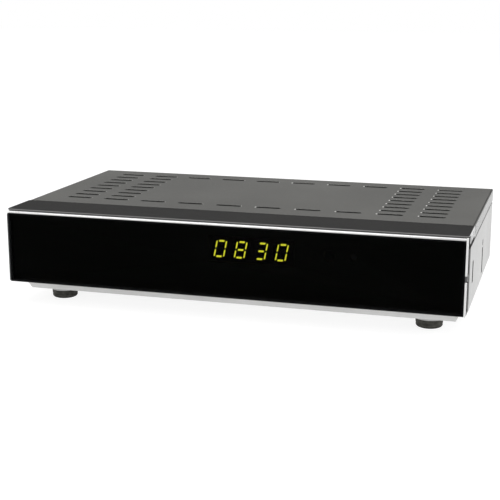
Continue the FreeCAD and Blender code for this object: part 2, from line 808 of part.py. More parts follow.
def segment_outline(name, digit):
    """Corners of one slanted segment, as x and z."""
    side = "((digit_width - post_width) / 2)"
    level = "((digit_height - bar_width) / 2)"
    tip = "segment_tip"
    if name in "agd":
        half = "bar_width / 2"
        reach = "bar_reach"
        middle = {"a": level, "g": "0", "d": f"(-{level})"}[name]
        points = [
            (f"-{reach}", middle),
            (f"{tip} - {reach}", f"{middle} + {half}"),
            (f"{reach} - {tip}", f"{middle} + {half}"),
            (reach, middle),
            (f"{reach} - {tip}", f"{middle} - {half}"),
            (f"{tip} - {reach}", f"{middle} - {half}"),
        ]
    else:
        half = "post_width / 2"
        end = "(digit_height / 2 - post_drop)"
        middle = side if name in "bc" else f"(-{side})"
        low, high = ("post_gap", end) if name in "bf" else (f"(-{end})", "(-post_gap)")
        points = [
            (middle, low),
            (f"{middle} + {half}", f"{low} + {tip}"),
            (f"{middle} + {half}", f"{high} - {tip}"),
            (middle, high),
            (f"{middle} - {half}", f"{high} - {tip}"),
            (f"{middle} - {half}", f"{low} + {tip}"),
        ]
    centre = f"display_x + ({digit} - 1.5) * digit_pitch"
    lean = "digit_slant / digit_height"
    return [(f"{centre} + {x} + ({z}) * {lean}", f"{DISPLAY_Z} + {z}") for x, z in points]


def make_segments():
    """The lit and the unlit segments, each a thin bar on the display module's face."""
    bars = {True: [], False: []}
    for digit, lit in enumerate(LIT):
        for name in SEGMENTS:
            body = new_body(f"segment_{digit}{name}")
            corners = segment_outline(name, digit)
            sketch = outline(body, f"{body.Name}_outline", "XZ_Plane", f"-{MODULE_FACE}", corners)
            pad(body, sketch, "segment_thick")
            bars[name in lit].append(body)
    for sign in "+-":
        x = f"display_x {sign} dot_rise * digit_slant / digit_height"
        spot = (x, f"{MODULE_FACE} - segment_thick", f"{DISPLAY_Z} {sign} dot_rise")
        bars[False].append(rod("colon_dot", "dot_radius", "segment_thick", spot, "+Y"))
    keep("display_digits", group("lit_segments", bars[True]))
    keep("display_segments_dark", group("dark_segments", bars[False]))


def make_display():
    """Display module and its board, with the screws that hold it to the frame."""
    module_y = (MODULE_FACE, DISPLAY_FRONT)
    module = block("module", about("display_x", MODULE_HALF), module_y, about(DISPLAY_Z, MODULE_RISE))
    keep("display_module", module)
    board_z = (f"{LEDGE} + display_low", f"{WINDOW_TOP} - display_high")
    board = block("display_plate", (DISPLAY_LEFT, DISPLAY_RIGHT), (DISPLAY_FRONT, DISPLAY_BACK), board_z)
    spots = display_screw_spots()
    holes = [drill(HOLE_RADIUS, "board_thick", (x, DISPLAY_FRONT, z), "+Y") for x, z in spots]
    keep("display_board", cut("display_board_cut", board, holes))
    seats = [(x, DISPLAY_BACK, z) for x, z in spots]
    keep("display_screws", screws("display_screw", seats, "+Y", "screw_length - board_thick"))


def make_eye_and_lamp():
    """Infrared receiver and status lamp, both soldered to the display board."""
    lens_back = f"({MODULE_FACE} + infrared_radius)"
    holder_x = about(INFRARED_X, "infrared_radius")
    holder = block("eye_holder", holder_x, (lens_back, DISPLAY_FRONT), about(DISPLAY_Z, "infrared_radius"))
    dome_radius = "infrared_radius - infrared_step"
    dome = rod("eye_dome", dome_radius, "infrared_radius", (INFRARED_X, MODULE_FACE, DISPLAY_Z), "+Y")
    keep("infrared_receiver", fuse("eye_solid", [holder, dome]))
    collar_start = (LED_X, f"{DISPLAY_FRONT} - led_collar_height", DISPLAY_Z)
    collar = rod("led_collar", "led_radius + led_collar", "led_collar_height", collar_start, "+Y")
    bulb = rod("led_bulb", "led_radius", "module_depth", (LED_X, MODULE_FACE, DISPLAY_Z), "+Y")
    keep("status_led", fuse("led_solid", [collar, bulb]))


def make_button():
    """Standby button in the right cheek and the switch that it presses."""
    head_x = (f"{CHEEK} + button_proud - button_head", f"{CHEEK} + button_proud")
    head_y = (f"{FRAME_FRONT} + button_gap", f"{TRIM_BACK} - trim_wall - button_gap")
    head = block("button_head", head_x, head_y, about(BUTTON_Z, "button_size / 2"))
    stem_start = f"{DISPLAY_RIGHT} + plunger_reach + button_travel + button_gap"
    stem_x = (stem_start, f"{CHEEK} - trim_wall - button_gap")
    stem_half = "button_stem / 2"
    stem = block("button_stem", stem_x, about(BUTTON_Y, stem_half), about(BUTTON_Z, stem_half))
    keep("standby_button", fuse("button_solid", [head, stem]))
    case_x = (f"{DISPLAY_RIGHT} - switch_length", DISPLAY_RIGHT)
    case_y = (f"{DISPLAY_FRONT} - switch_body", DISPLAY_FRONT)
    case = block("switch_case", case_x, case_y, about(BUTTON_Z, "switch_length / 2"))
    plunger_start = (f"{DISPLAY_RIGHT} - plunger_radius", BUTTON_Y, BUTTON_Z)
    plunger = rod("switch_plunger", "plunger_radius", "plunger_radius + plunger_reach", plunger_start, "+X")
    keep("button_switch", fuse("switch_solid", [case, plunger]))


# ---------------------------------------------------------------- lid
SLOT_STEP_X = f"(2 * ({SIDE} - slot_side) / (slot_columns - 1))"
RIM_ANGLE = -45  # degrees by which the rim of a slot opens towards the top
SLOT_STEP_Y = "((case_depth - slot_front - slot_rear) / (slot_rows - 1))"


def cut_slots(body, name, column, columns, rows, row_step):
    """Cuts one grid of vent slots, with a bevelled rim round each, through the lid."""
    x = f"({column} - (slot_columns - 1) / 2) * {SLOT_STEP_X}"
    y = f"{FRONT} + slot_front"
    originals = []
    for kind, margin, depth in (("rim", "slot_rim", "slot_rim"), ("slot", "0", "2 * steel")):
        length = f"slot_length + 2 * {margin}"
        width = f"slot_width + 2 * {margin}"
        sketch = slot_outline(body, f"{name}_{kind}_outline", TOP, (x, y), length, width)
        pocket = body.newObject("PartDesign::Pocket", f"{name}_{kind}")
        pocket.Profile = sketch
        bind(pocket, "Length", depth)
        originals.append(pocket)
    originals[0].TaperAngle = RIM_ANGLE
    doc.recompute()
    pattern = body.newObject("PartDesign::LinearPattern", f"{name}_grid")
    pattern.Originals = originals
    pattern.Direction = (sketch, ["H_Axis"])
    bind(pattern, "Length", f"({columns} - 1) * {SLOT_STEP_X}")
    bind(pattern, "Occurrences", columns)
    pattern.Direction2 = (sketch, ["V_Axis"])
    bind(pattern, "Length2", f"({rows} - 1) * ({row_step}) * {SLOT_STEP_Y}")
    bind(pattern, "Occurrences2", rows)
    body.Tip = pattern
    doc.recompute()


def make_folded_lid():
    """The lid's folded sheet: a shallow tray with rounded folds and rounded tabs in front."""
    body = new_body("cover_body")
    corners = [(f"-{SIDE}", LID_FRONT), (SIDE, LID_FRONT), (SIDE, REAR), (f"-{SIDE}", REAR)]
    blank = pad(body, outline(body, "cover_outline", "XY_Plane", f"{TOP} - lid_drop", corners), "lid_drop")
    doc.recompute()
    box = blank.Shape.BoundBox
    folds = []
    for at_fold in (
        lambda p: p.x > box.XMax - NEAR,
        lambda p: p.x < box.XMin + NEAR,
        lambda p: p.y > box.YMax - NEAR,
    ):
        folds += edges_where(blank.Shape, lambda p: p.z > box.ZMax - NEAR and at_fold(p))
    rounding = body.newObject("PartDesign::Fillet", "cover_folds")
    rounding.Base = (blank, folds)
    bind(rounding, "Radius", "bend_radius")
    inner = f"({SIDE} - steel)"
    hollow = [
        (f"-{inner}", f"{LID_FRONT} - {PAST}"),
        (inner, f"{LID_FRONT} - {PAST}"),
        (inner, f"{REAR} - steel"),
        (f"-{inner}", f"{REAR} - steel"),
    ]
    inside = body.newObject("PartDesign::Pocket", "cover_inside")
    inside.Profile = outline(body, "cover_inside_outline", "XY_Plane", f"{TOP} - steel", hollow)
    bind(inside, "Length", "lid_drop")
    doc.recompute()
    tabs = body.newObject("PartDesign::Fillet", "cover_tabs")
    front_low = edges_where(inside.Shape, lambda p: p.y < box.YMin + NEAR and p.z < box.ZMin + NEAR)
    tabs.Base = (inside, front_low)
    bind(tabs, "Radius", "tab_radius")
    doc.recompute()
    return body


def make_cover():
    """Folded steel lid with flanges at the sides and the rear, and vent slots."""
    body = make_folded_lid()
    middle_columns = "slot_columns - 2 * slot_block"
    cut_slots(body, "left_slots", "0", "slot_block", "slot_rows", "1")
    cut_slots(body, "right_slots", "(slot_columns - slot_block)", "slot_block", "slot_rows", "1")
    cut_slots(body, "row_slots", "slot_block", middle_columns, "2", "slot_rows - 1")
    tongue_low = f"({TOP} - band_thick - seam - steel)"
    tongue_x = about("0", f"{SIDE} - frame_wall - 2 * seam - 2 * steel")
    step_y = rising(LID_FRONT, "steel")
    tongue_y = (f"{LID_FRONT} - tongue_depth", step_y[1])
    tongue = block("cover_tongue", tongue_x, tongue_y, rising(tongue_low, "steel"))
    step = block("cover_step", tongue_x, step_y, (tongue_low, f"{TOP} - steel / 2"))
    relief_x = (f"{SIDE} - steel - {PAST}", f"{SIDE} + {PAST}")
    relief_z = (f"{TOP} - lid_drop + relief_low", f"{TOP} - bend_radius")
    relief = block("cover_relief", relief_x, about(f"{LID_FRONT} + relief_y", "relief_width / 2"), relief_z)
    spots = cover_screw_spots()
    tools = both_sides([relief])
    tools += [drill(HOLE_RADIUS, "steel", (x, f"{REAR} - steel", z), "+Y") for x, z in spots]
    keep("top_cover", cut("cover_cut", fuse("cover_solid", [body, tongue, step]), tools))
    keep("cover_screws", screws("cover_screw", [(x, REAR, z) for x, z in spots], "+Y"))


def cover_screw_spots():
    """Where screws hold the lid's rear flange to the rear panel, as x and z."""
    x = f"({SIDE} - cover_screw_inset)"
    return [(place, f"{TOP} - (lid_drop + bend_radius) / 2") for place in (f"-{x}", "0", x)]


# ---------------------------------------------------------------- tray and feet
def drawn_pan(name, inset, low, high):
    """The drawn pan's outline at a distance inside its outer skin, between two levels."""
    solid = doc.addObject("Part::Wedge", name)
    solid.Placement = FreeCAD.Placement(FreeCAD.Vector(), FreeCAD.Rotation(FreeCAD.Vector(1, 0, 0), 90))
    for end, level in (("", low), ("2", high)):
        grow = f"((({level}) - foot_height) * pan_slope / pan_drop - {inset})"
        half = f"{SIDE} - pan_inset + {grow}"
        bind(solid, f"X{end}min", f"-({half})")
        bind(solid, f"X{end}max", half)
        bind(solid, f"Z{end}min", f"-({PANEL_FRONT} - pan_rear + {grow})")
        bind(solid, f"Z{end}max", f"-({FRONT} + pan_front - {grow})")
    bind(solid, "Ymin", low)
    bind(solid, "Ymax", high)
    return solid


def foot_spots():
    """Where the four feet stand, as name, x and y."""
    x = f"({SIDE} - foot_inset)"
    columns = (("left", f"-{x}"), ("right", x))
    rows = (("front", f"{FRONT} + foot_front"), ("rear", f"{REAR} - foot_rear"))
    return [(f"{row}_{column}", at_x, at_y) for row, at_y in rows for column, at_x in columns]


def side_cutters():
    """Vent slots and the round hole in the right wall."""
    wall = (f"{SIDE} - steel", SIDE)
    tools = []
    for place in ("front_vent", "rear_vent"):
        y = about(f"{FRONT} + {place}_y", "side_slot_width / 2")
        tools.append(block(place, through(wall), y, (f"{LEDGE} + {place}_low", f"{LEDGE} + {place}_high")))
    hole_z = f"{LEDGE} + rear_vent_high + rear_hole_gap + rear_hole_radius"
    tools.append(drill("rear_hole_radius", "steel", (wall[0], f"{FRONT} + rear_vent_y", hole_z), "+X"))
    return tools


def make_chassis():
    """Zinc-plated tray: ledge, drawn pan, side walls and the lips that carry the lid."""
    ledge_y = (f"{FRONT} + ledge_front", PANEL_BACK)
    ledge = block("chassis_ledge", about("0", SIDE), ledge_y, rising(LEDGE, "steel"))
    outer = drawn_pan("pan_outer", "0", "foot_height", f"{LEDGE} + steel")
    inner = drawn_pan("pan_inner", "steel", FLOOR, f"{LEDGE} + 2 * steel")
    lip_y = (f"{LID_FRONT} + steel + seam", f"{PANEL_FRONT} - seam")
    lip_x = (f"{SIDE} - 2 * steel - seam", f"{SIDE} - steel - seam")
    step_z = (f"{WALL_TOP} - steel", WALL_TOP)
    wall_y = (f"{FRONT} + side_front", PANEL_BACK)
    sides = both_sides([
        block("chassis_wall", (f"{SIDE} - steel", SIDE), wall_y, (LEDGE, WALL_TOP)),
        block("chassis_step", (lip_x[0], SIDE), lip_y, step_z),
        block("chassis_lip", lip_x, lip_y, (step_z[0], f"{WALL_TOP} + lip_height")),
    ])
    tools = [inner] + both_sides(side_cutters())
    floor_spots = [(x, y) for _, x, y in foot_spots()] + frame_screw_spots()
    tools += [drill(HOLE_RADIUS, "steel", (x, y, "foot_height")) for x, y in floor_spots]
    tools += [drill(HOLE_RADIUS, "steel", (x, y, LEDGE)) for x, y in panel_screw_spots()]
    keep("chassis", cut("chassis_cut", fuse("chassis_solid", [ledge, outer] + sides), tools))
    seats = [(x, y, "foot_height") for x, y in frame_screw_spots()]
    keep("frame_screws", screws("frame_screw", seats, "-Z", "pan_drop"))


def make_feet():
    """Round rubber feet, each with a recess for the screw that holds it."""
    recess = "(screw_head_radius + foot_recess_gap)"
    profile = [
        (recess, "0"),
        ("foot_radius - foot_taper", "0"),
        ("foot_radius", "foot_height"),
        (HOLE_RADIUS, "foot_height"),
        (HOLE_RADIUS, "foot_recess_depth"),
        (recess, "foot_recess_depth"),
    ]
    for name, x, y in foot_spots():
        keep(f"foot_{name}", turned(f"foot_{name}_body", profile, (x, y, "0")))
    seats = [(x, y, "foot_recess_depth") for _, x, y in foot_spots()]
    keep("foot_screws", screws("foot_screw", seats, "-Z", "foot_height - foot_recess_depth + 3 * steel"))


# ---------------------------------------------------------------- rear panel
def panel_screw_spots():
    """Where screws through the ledge hold the rear panel's flange, as x and y."""
    x = f"({SIDE} - cover_screw_inset)"
    y = f"({PANEL_FRONT} - (pan_rear - pan_slope) / 2)"
    return [(f"-{x}", y), (x, y)]


def socket_windows():
    """Rectangular cut-outs of the rear panel: middle x, half-width, middle z, half-height."""
    return [
        (SCART_X, "scart_width / 2", SCART_Z, "scart_height / 2"),
        (HDMI_X, "hdmi_width / 2", HDMI_Z, "hdmi_height / 2"),
        (ETHERNET_X, "ethernet_width / 2", ETHERNET_Z, "ethernet_height / 2"),
        (USB_X, "usb_width / 2", USB_Z, "usb_height / 2"),
        (INLET_X, "inlet_width / 2", MAINS_Z, "inlet_body / 2"),
        (ROCKER_X, HOUSING_HALF_X, MAINS_Z, HOUSING_HALF_Z),
    ]


def lnb_places():
    """The x of the input and of the output aerial socket."""
    middle = f"({TUNER_LEFT} + {TUNER_RIGHT}) / 2"
    return [f"({middle} {sign} lnb_pitch / 2)" for sign in "+-"]


def phono_places():
    """The x of the three phono sockets."""
    return [f"({PHONO_X} + ({i}) * phono_pitch)" for i in (-1, 0, 1)]


def make_rear_panel():
    """Rear sheet with its socket cut-outs and a flange screwed to the ledge."""
    low = f"({LEDGE} + steel + seam / 2)"
    x = about("0", f"{SIDE} - steel - seam")
    wall = (PANEL_FRONT, PANEL_BACK)
    plate = block("panel_plate", x, wall, (low, f"{TOP} - steel - seam"))
    flange = block("panel_flange", x, (f"{PANEL_FRONT} - pan_rear + steel", PANEL_BACK), rising(low, "steel"))
    tools = []
    for centre, half_width, middle, half_height in socket_windows():
        window_x = about(centre, f"{half_width} + fit")
        window_z = about(middle, f"{half_height} + fit")
        tools.append(block("socket_window", window_x, through(wall), window_z))
    for place in lnb_places():
        tools.append(drill("neck_radius + fit", "steel", (place, wall[0], LNB_Z), "+Y"))
    for place in phono_places():
        tools.append(drill("phono_radius + fit", "steel", (place, wall[0], PHONO_Z), "+Y"))
    tools += [drill(HOLE_RADIUS, "steel", (place, wall[0], z), "+Y") for place, z in cover_screw_spots()]
    tools += [drill(HOLE_RADIUS, "steel", (place, y, low)) for place, y in panel_screw_spots()]
    keep("rear_panel", cut("panel_cut", fuse("panel_solid", [plate, flange]), tools))
    seats = [(place, y, LEDGE) for place, y in panel_screw_spots()]
    keep("rear_panel_screws", screws("panel_screw", seats, "-Z", "2 * steel + seam"))


# ---------------------------------------------------------------- rear sockets
def make_tuner():
    """Tuner in its tin can with two threaded aerial sockets."""
    x = (TUNER_LEFT, TUNER_RIGHT)
    y = (f"{BOARD_REAR} - tuner_length", BOARD_REAR)
    z = rising(BOARD_TOP, "tuner_height")
    inner_x = (f"{x[0]} + can_wall", f"{x[1]} - can_wall")
    inner_y = (f"{y[0]} + can_wall", f"{y[1]} - can_wall")
    inner = block("can_inner", inner_x, inner_y, (f"{z[0]} - {PAST}", f"{z[1]} - can_wall"))
    tools = [inner]
    for place in lnb_places():
        tools.append(drill("neck_radius + contact_fit", "can_wall", (place, inner_y[1], LNB_Z), "+Y"))
    keep("tuner_can", cut("can_cut", block("can_outer", x, y, z), tools))
    root = f"({BOARD_REAR} - can_wall - socket_root)"
    neck = f"({PANEL_BACK} + nut_thick + neck_proud - {root})"
    full = f"({REAR} + thread_reach - {root})"
    profile = [
        ("bore_radius", "0"),
        ("neck_radius", "0"),
        ("neck_radius", neck),
        ("thread_radius", neck),
        ("thread_radius", f"{full} - thread_chamfer"),
        ("thread_radius - thread_chamfer", full),
        ("bore_radius", full),
    ]
    plugs = []
    nuts = []
    for name, place in zip(("lnb_input_socket", "lnb_output_socket"), lnb_places()):
        keep(name, turned(f"{name}_body", profile, (place, root, LNB_Z), "+Y"))
        length = f"{full} - insulator_setback"
        plug = rod("lnb_plug", "bore_radius - contact_fit", length, (place, root, LNB_Z), "+Y")
        hole_start = f"{REAR} + thread_reach - insulator_setback - contact_depth"
        hole_depth = f"contact_depth + {PAST}"
        hole = rod("lnb_contact", "contact_radius", hole_depth, (place, hole_start, LNB_Z), "+Y")
        plugs.append(cut("lnb_insulator", plug, [hole]))
        nuts.append(hex_nut(place))
    keep("lnb_insulators", group("lnb_insulator_group", plugs))
    keep("lnb_nuts", group("lnb_nut_group", nuts))


def hex_nut(place):
    """A flat nut on one aerial socket's neck, against the rear panel."""
    prism = doc.addObject("Part::Prism", "nut_prism")
    prism.Polygon = 6
    bind(prism, "Circumradius", "nut_flats / 2 / cos(30)")
    bind(prism, "Height", "nut_thick")
    face(prism, "+Y")
    locate(prism, place, PANEL_BACK, LNB_Z)
    hole = drill("neck_radius + contact_fit", "nut_thick", (place, PANEL_BACK, LNB_Z), "+Y")
    return cut("lnb_nut", prism, [hole])


def slanted(name, inset, y):
    """The audio-video socket's outline, cut off at one lower corner, between two depths."""
    half_width = f"(scart_width / 2 - {inset})"
    half_height = f"(scart_height / 2 - {inset})"
    low = f"{SCART_Z} - {half_height}"
    high = f"{SCART_Z} + {half_height}"
    body = new_body(name)
    corners = [
        (f"{SCART_X} - {half_width}", high),
        (f"{SCART_X} - {half_width}", low),
        (f"{SCART_X} + {half_width} - scart_slant", low),
        (f"{SCART_X} + {half_width}", f"{low} + scart_slant"),
        (f"{SCART_X} + {half_width}", high),
    ]
    sketch = outline(body, f"{name}_outline", "XZ_Plane", f"-({y[1]})", corners)
    pad(body, sketch, f"({y[1]}) - ({y[0]})")
    return body


def make_scart():
    """Audio-video socket: a metal shell round a plastic core with contact slots."""
    y = (f"({REAR} - scart_depth)", SOCKET_MOUTH)
    hollow = slanted("scart_inner", "shell_wall", through(y))
    keep("scart_shell", cut("scart_cut", slanted("scart_outer", "0", y), [hollow]))
    bed_back = f"({y[0]} + scart_depth / 2)"
    bed = slanted("scart_bed", "(shell_wall + contact_fit)", (y[0], bed_back))
    core = slanted("scart_core", "(shell_wall + core_gap)", (y[0], f"{y[1]} - insert_setback"))
    foot_x = about(SCART_X, "scart_width / 2 - scart_slant - 2 * shell_wall")
    foot_z = (BOARD_TOP, f"{SCART_Z} + scart_height / 2 - 2 * shell_wall")
    foot = block("scart_foot", foot_x, (f"{y[0]} - insert_foot", y[0]), foot_z)
    tools = []
    for side in (-1, 1):
        for i in range(-4, 5):
            x = about(f"{SCART_X} + ({i} + {side} / 4) * slit_pitch", "slit_width / 2")
            z = about(f"{SCART_Z} + {side} * slit_row", "slit_height / 2")
            tools.append(block("scart_slit", x, (bed_back, f"{y[1]} + {PAST}"), z))
    keep("scart_insert", cut("scart_insert_cut", fuse("scart_insert_solid", [bed, core, foot]), tools))


def hollow_port(name, centre, middle, wall):
    """A socket's shell, open to the rear; its sizes are the aliases that start with its name."""
    y = (f"({REAR} - {name}_depth)", SOCKET_MOUTH)
    half_width = f"{name}_width / 2"
    half_height = f"{name}_height / 2"
    shell = block(f"{name}_shell", about(centre, half_width), y, about(middle, half_height))
    inside_y = (f"{y[0]} + {wall}", f"{y[1]} + {PAST}")
    inside_x = about(centre, f"{half_width} - {wall}")
    inside = block(f"{name}_inside", inside_x, inside_y, about(middle, f"{half_height} - {wall}"))
    return cut(f"{name}_hollow", shell, [inside])


def make_ports():
    """Video, network and data sockets along the rear edge of the main board."""
    keep("ethernet_socket", hollow_port("ethernet", ETHERNET_X, ETHERNET_Z, "port_wall"))
    for name, centre, middle in (("hdmi", HDMI_X, HDMI_Z), ("usb", USB_X, USB_Z)):
        blade_x = about(centre, f"{name}_width / 2 - socket_wall - tongue_gap")
        blade_y = (f"{REAR} - {name}_depth + socket_wall / 2", f"{SOCKET_MOUTH} - tongue_setback")
        blade = block(f"{name}_tongue", blade_x, blade_y, about(middle, "tongue_thick / 2"))
        shell = hollow_port(name, centre, middle, "socket_wall")
        keep(f"{name}_socket", fuse(f"{name}_solid", [shell, blade]))


def make_phono():
    """Three phono sockets: one plastic block and a metal barrel through each opening."""
    base_y = (f"{BOARD_REAR} - phono_depth", BOARD_REAR)
    base_x = about(PHONO_X, f"{PHONO_WIDTH} / 2")
    base = block("phono_base", base_x, base_y, rising(BOARD_TOP, "phono_height"))
    root = f"({BOARD_REAR} - phono_depth / 2)"
    shoulder = f"({PANEL_BACK} + seam)"
    reach = f"({REAR} + phono_reach - {root})"
    neck_radius = "phono_radius - phono_neck_step"
    bore_radius = "phono_radius - phono_wall"
    seats = []
    barrels = []
    rings = []
    for place in phono_places():
        at = (place, root, PHONO_Z)
        seats.append(rod("phono_seat", f"{neck_radius} + contact_fit", "phono_depth", at, "+Y"))
        neck = rod("phono_neck", neck_radius, reach, at, "+Y")
        outer_length = f"{REAR} + phono_reach - {shoulder}"
        outer = rod("phono_tube", "phono_radius", outer_length, (place, shoulder, PHONO_Z), "+Y")
        bore_start = (place, f"{root} + phono_wall", PHONO_Z)
        bore = rod("phono_bore", bore_radius, reach, bore_start, "+Y")
        barrels.append(cut("phono_barrel", fuse("phono_tube_solid", [outer, neck]), [bore]))
        ring_start = (place, f"{root} + phono_wall + contact_fit", PHONO_Z)
        ring_length = f"{reach} - 2 * phono_wall"
        ring = rod("phono_ring", f"{bore_radius} - contact_fit", ring_length, ring_start, "+Y")
        hole_start = (place, f"{root} + 2 * phono_wall", PHONO_Z)
        rings.append(cut("phono_insulator", ring, [rod("phono_hole", "phono_bore", reach, hole_start, "+Y")]))
    keep("phono_block", cut("phono_block_cut", base, seats))
    keep("phono_barrels", group("phono_barrel_group", barrels))
    keep("phono_insulators", group("phono_insulator_group", rings))


# ---------------------------------------------------------------- mains
def make_inlet():
    """Two-pin mains inlet, snapped into the rear panel."""
    flange_z = about(MAINS_Z, "inlet_body / 2 + inlet_lug / 2")
    flange = block("inlet_flange", about(INLET_X, INLET_REACH), (PANEL_BACK, FLANGE_BACK), flange_z)
    case_y = (f"{PANEL_BACK} - inlet_depth", PANEL_BACK)
    case = block("inlet_case", about(INLET_X, "inlet_width / 2"), case_y, about(MAINS_Z, "inlet_body / 2"))
    mouth_y = (f"({FLANGE_BACK} - inlet_mouth_depth)", f"{FLANGE_BACK} + {PAST}")
    waist_z = about(MAINS_Z, "inlet_waist / 2")
    tools = [block("inlet_waist", about(INLET_X, "pin_spacing / 2"), mouth_y, waist_z)]
    pins = []
    for sign in "-+":
        at = (f"{INLET_X} {sign} pin_spacing / 2", mouth_y[0], MAINS_Z)
        tools.append(rod("inlet_mouth", "inlet_mouth / 2", f"inlet_mouth_depth + {PAST}", at, "+Y"))
        pins.append(rod("mains_pin", "pin_radius", "inlet_mouth_depth - pin_setback", at, "+Y"))
    keep("mains_inlet", cut("inlet_cut", fuse("inlet_solid", [flange, case]), tools))
    keep("mains_pins", group("mains_pin_group", pins))


def make_rocker():
    """Mains switch: an open housing and the rocker that tips in it."""
    flange_z = about(MAINS_Z, f"{HOUSING_HALF_Z} + housing_rim")
    flange = block("housing_flange", about(ROCKER_X, HOUSING_REACH), (PANEL_BACK, FLANGE_BACK), flange_z)
    case_y = (f"{PANEL_BACK} - housing_depth", PANEL_BACK)
    case = block("housing_case", about(ROCKER_X, HOUSING_HALF_X), case_y, about(MAINS_Z, HOUSING_HALF_Z))
    well_x = about(ROCKER_X, "rocker_width / 2 + rocker_gap")
    well_y = (f"{PIVOT_Y} - rocker_depth - rocker_room", f"{FLANGE_BACK} + {PAST}")
    well = block("housing_well", well_x, well_y, about(MAINS_Z, "rocker_length / 2 + rocker_gap"))
    keep("switch_housing", cut("housing_cut", fuse("housing_solid", [flange, case]), [well]))
    body = new_body("rocker_body")
    half = "(rocker_length / 2)"
    valley = "(flange_thick / 2)"
    crest = f"({valley} + {half} * tan(rocker_tilt))"
    corners = [
        (crest, f"-{half}"),
        (valley, "0"),
        (crest, half),
        ("-rocker_depth", f"{half} / 2"),
        ("-rocker_depth", f"-{half} / 2"),
    ]
    sketch = outline(body, "rocker_outline", "YZ_Plane", "-rocker_width / 2", corners)
    pad(body, sketch, "rocker_width")
    body.Placement = FreeCAD.Placement(FreeCAD.Vector(), FreeCAD.Rotation(FreeCAD.Vector(1, 0, 0), 1))
    bind(body, "Placement.Rotation.Angle", "rocker_tilt")
    keep("switch_rocker", locate(body, ROCKER_X, PIVOT_Y, MAINS_Z))


# ---------------------------------------------------------------- boards and what they carry
def board_spots(left, right, left_rear, right_rear):
    """Screw places along a board's two sides, as x and y; the rear rows are given."""
    front = f"{BOARD_FRONT} + board_edge"
    columns = ((f"{left} + board_edge", left_rear), (f"{right} - board_edge", right_rear))
    return [(x, y) for x, rear in columns for y in (front, rear)]


BEHIND_SCART = f"({REAR} - scart_depth - insert_foot - board_edge)"
BEFORE_TUNER = f"({BOARD_REAR} - tuner_length - board_edge)"
MAIN_SPOTS = board_spots(MAIN_LEFT, BOARD_SIDE, BEHIND_SCART, BEFORE_TUNER)
POWER_SPOTS = board_spots(POWER_LEFT, POWER_RIGHT, POWER_ROW, POWER_ROW)


def make_board(name, left, right, rear, spots):
    """A board on four threaded standoffs, with its screws."""
    plate = block(f"{name}_plate", (left, right), (BOARD_FRONT, rear), (BOARD, BOARD_TOP))
    holes = [drill(HOLE_RADIUS, "board_thick", (x, y, BOARD)) for x, y in spots]
    keep(name, cut(f"{name}_cut", plate, holes))
    posts = []
    for x, y in spots:
        post = rod(f"{name}_post", "standoff_radius", "standoff_height", (x, y, FLOOR))
        bore = rod(f"{name}_bore", HOLE_RADIUS, "standoff_height", (x, y, f"{FLOOR} + standoff_floor"))
        posts.append(cut(f"{name}_standoff", post, [bore]))
    keep(f"{name}_standoffs", group(f"{name}_posts", posts))
    keep(f"{name}_screws", screws(f"{name}_screw", [(x, y, BOARD_TOP) for x, y in spots], "+Z"))


def chip(name, x, y, width, length, thickness, base=BOARD_TOP):
    """A flat package on a board, centred on x and y."""
    return block(name, about(x, f"{width} / 2"), about(y, f"{length} / 2"), rising(base, thickness))


def can(name, x, y, radius, height):
    """A capacitor with a rolled groove near its foot."""
    shape = rod(f"{name}_can", radius, height, (x, y, BOARD_TOP))
    ring = doc.addObject("Part::Torus", f"{name}_groove")
    bind(ring, "Radius1", f"{radius} + groove_inset")
    bind(ring, "Radius2", "groove_bead")
    locate(ring, x, y, f"{BOARD_TOP} + groove_rise")
    return cut(name, shape, [ring])


MAIN_MIDDLE = f"(({MAIN_LEFT} + {BOARD_SIDE}) / 2)"
PROCESSOR_X = f"({MAIN_MIDDLE} - processor_shift)"
PROCESSOR_Y = f"(({BOARD_FRONT} + {BOARD_REAR}) / 2)"
FRONT_ROW = f"({BOARD_FRONT} + front_row)"
HARNESS_Y = f"({FRONT} + harness_y)"
HARNESS_MAIN_X = f"({MAIN_LEFT} + header_width / 2 + header_wall)"
HARNESS_POWER_X = f"({POWER_RIGHT} - board_edge)"
HEADER_TOP = f"({BOARD_TOP} + header_height)"
RIBBON_X = f"({MAIN_MIDDLE} + ribbon_width / 2)"
RIBBON_Y = f"({BOARD_FRONT} + header_width / 2 + header_wall)"


def make_processor():
    """Processor with its finned heat sink."""
    size = "processor_size"
    keep("processor", chip("processor_chip", PROCESSOR_X, PROCESSOR_Y, size, size, "processor_thick"))
    base = f"({BOARD_TOP} + processor_thick)"
    solids = [chip("sink_base", PROCESSOR_X, PROCESSOR_Y, size, size, "fin_base", base)]
    for i in range(int(SIZES["fin_count"])):
        x = f"{PROCESSOR_X} + ({i} - (fin_count - 1) / 2) * fin_pitch"
        solids.append(chip("sink_fin", x, PROCESSOR_Y, "fin_thick", size, "fin_base + fin_height", base))
    keep("processor_heatsink", fuse("processor_sink", solids))


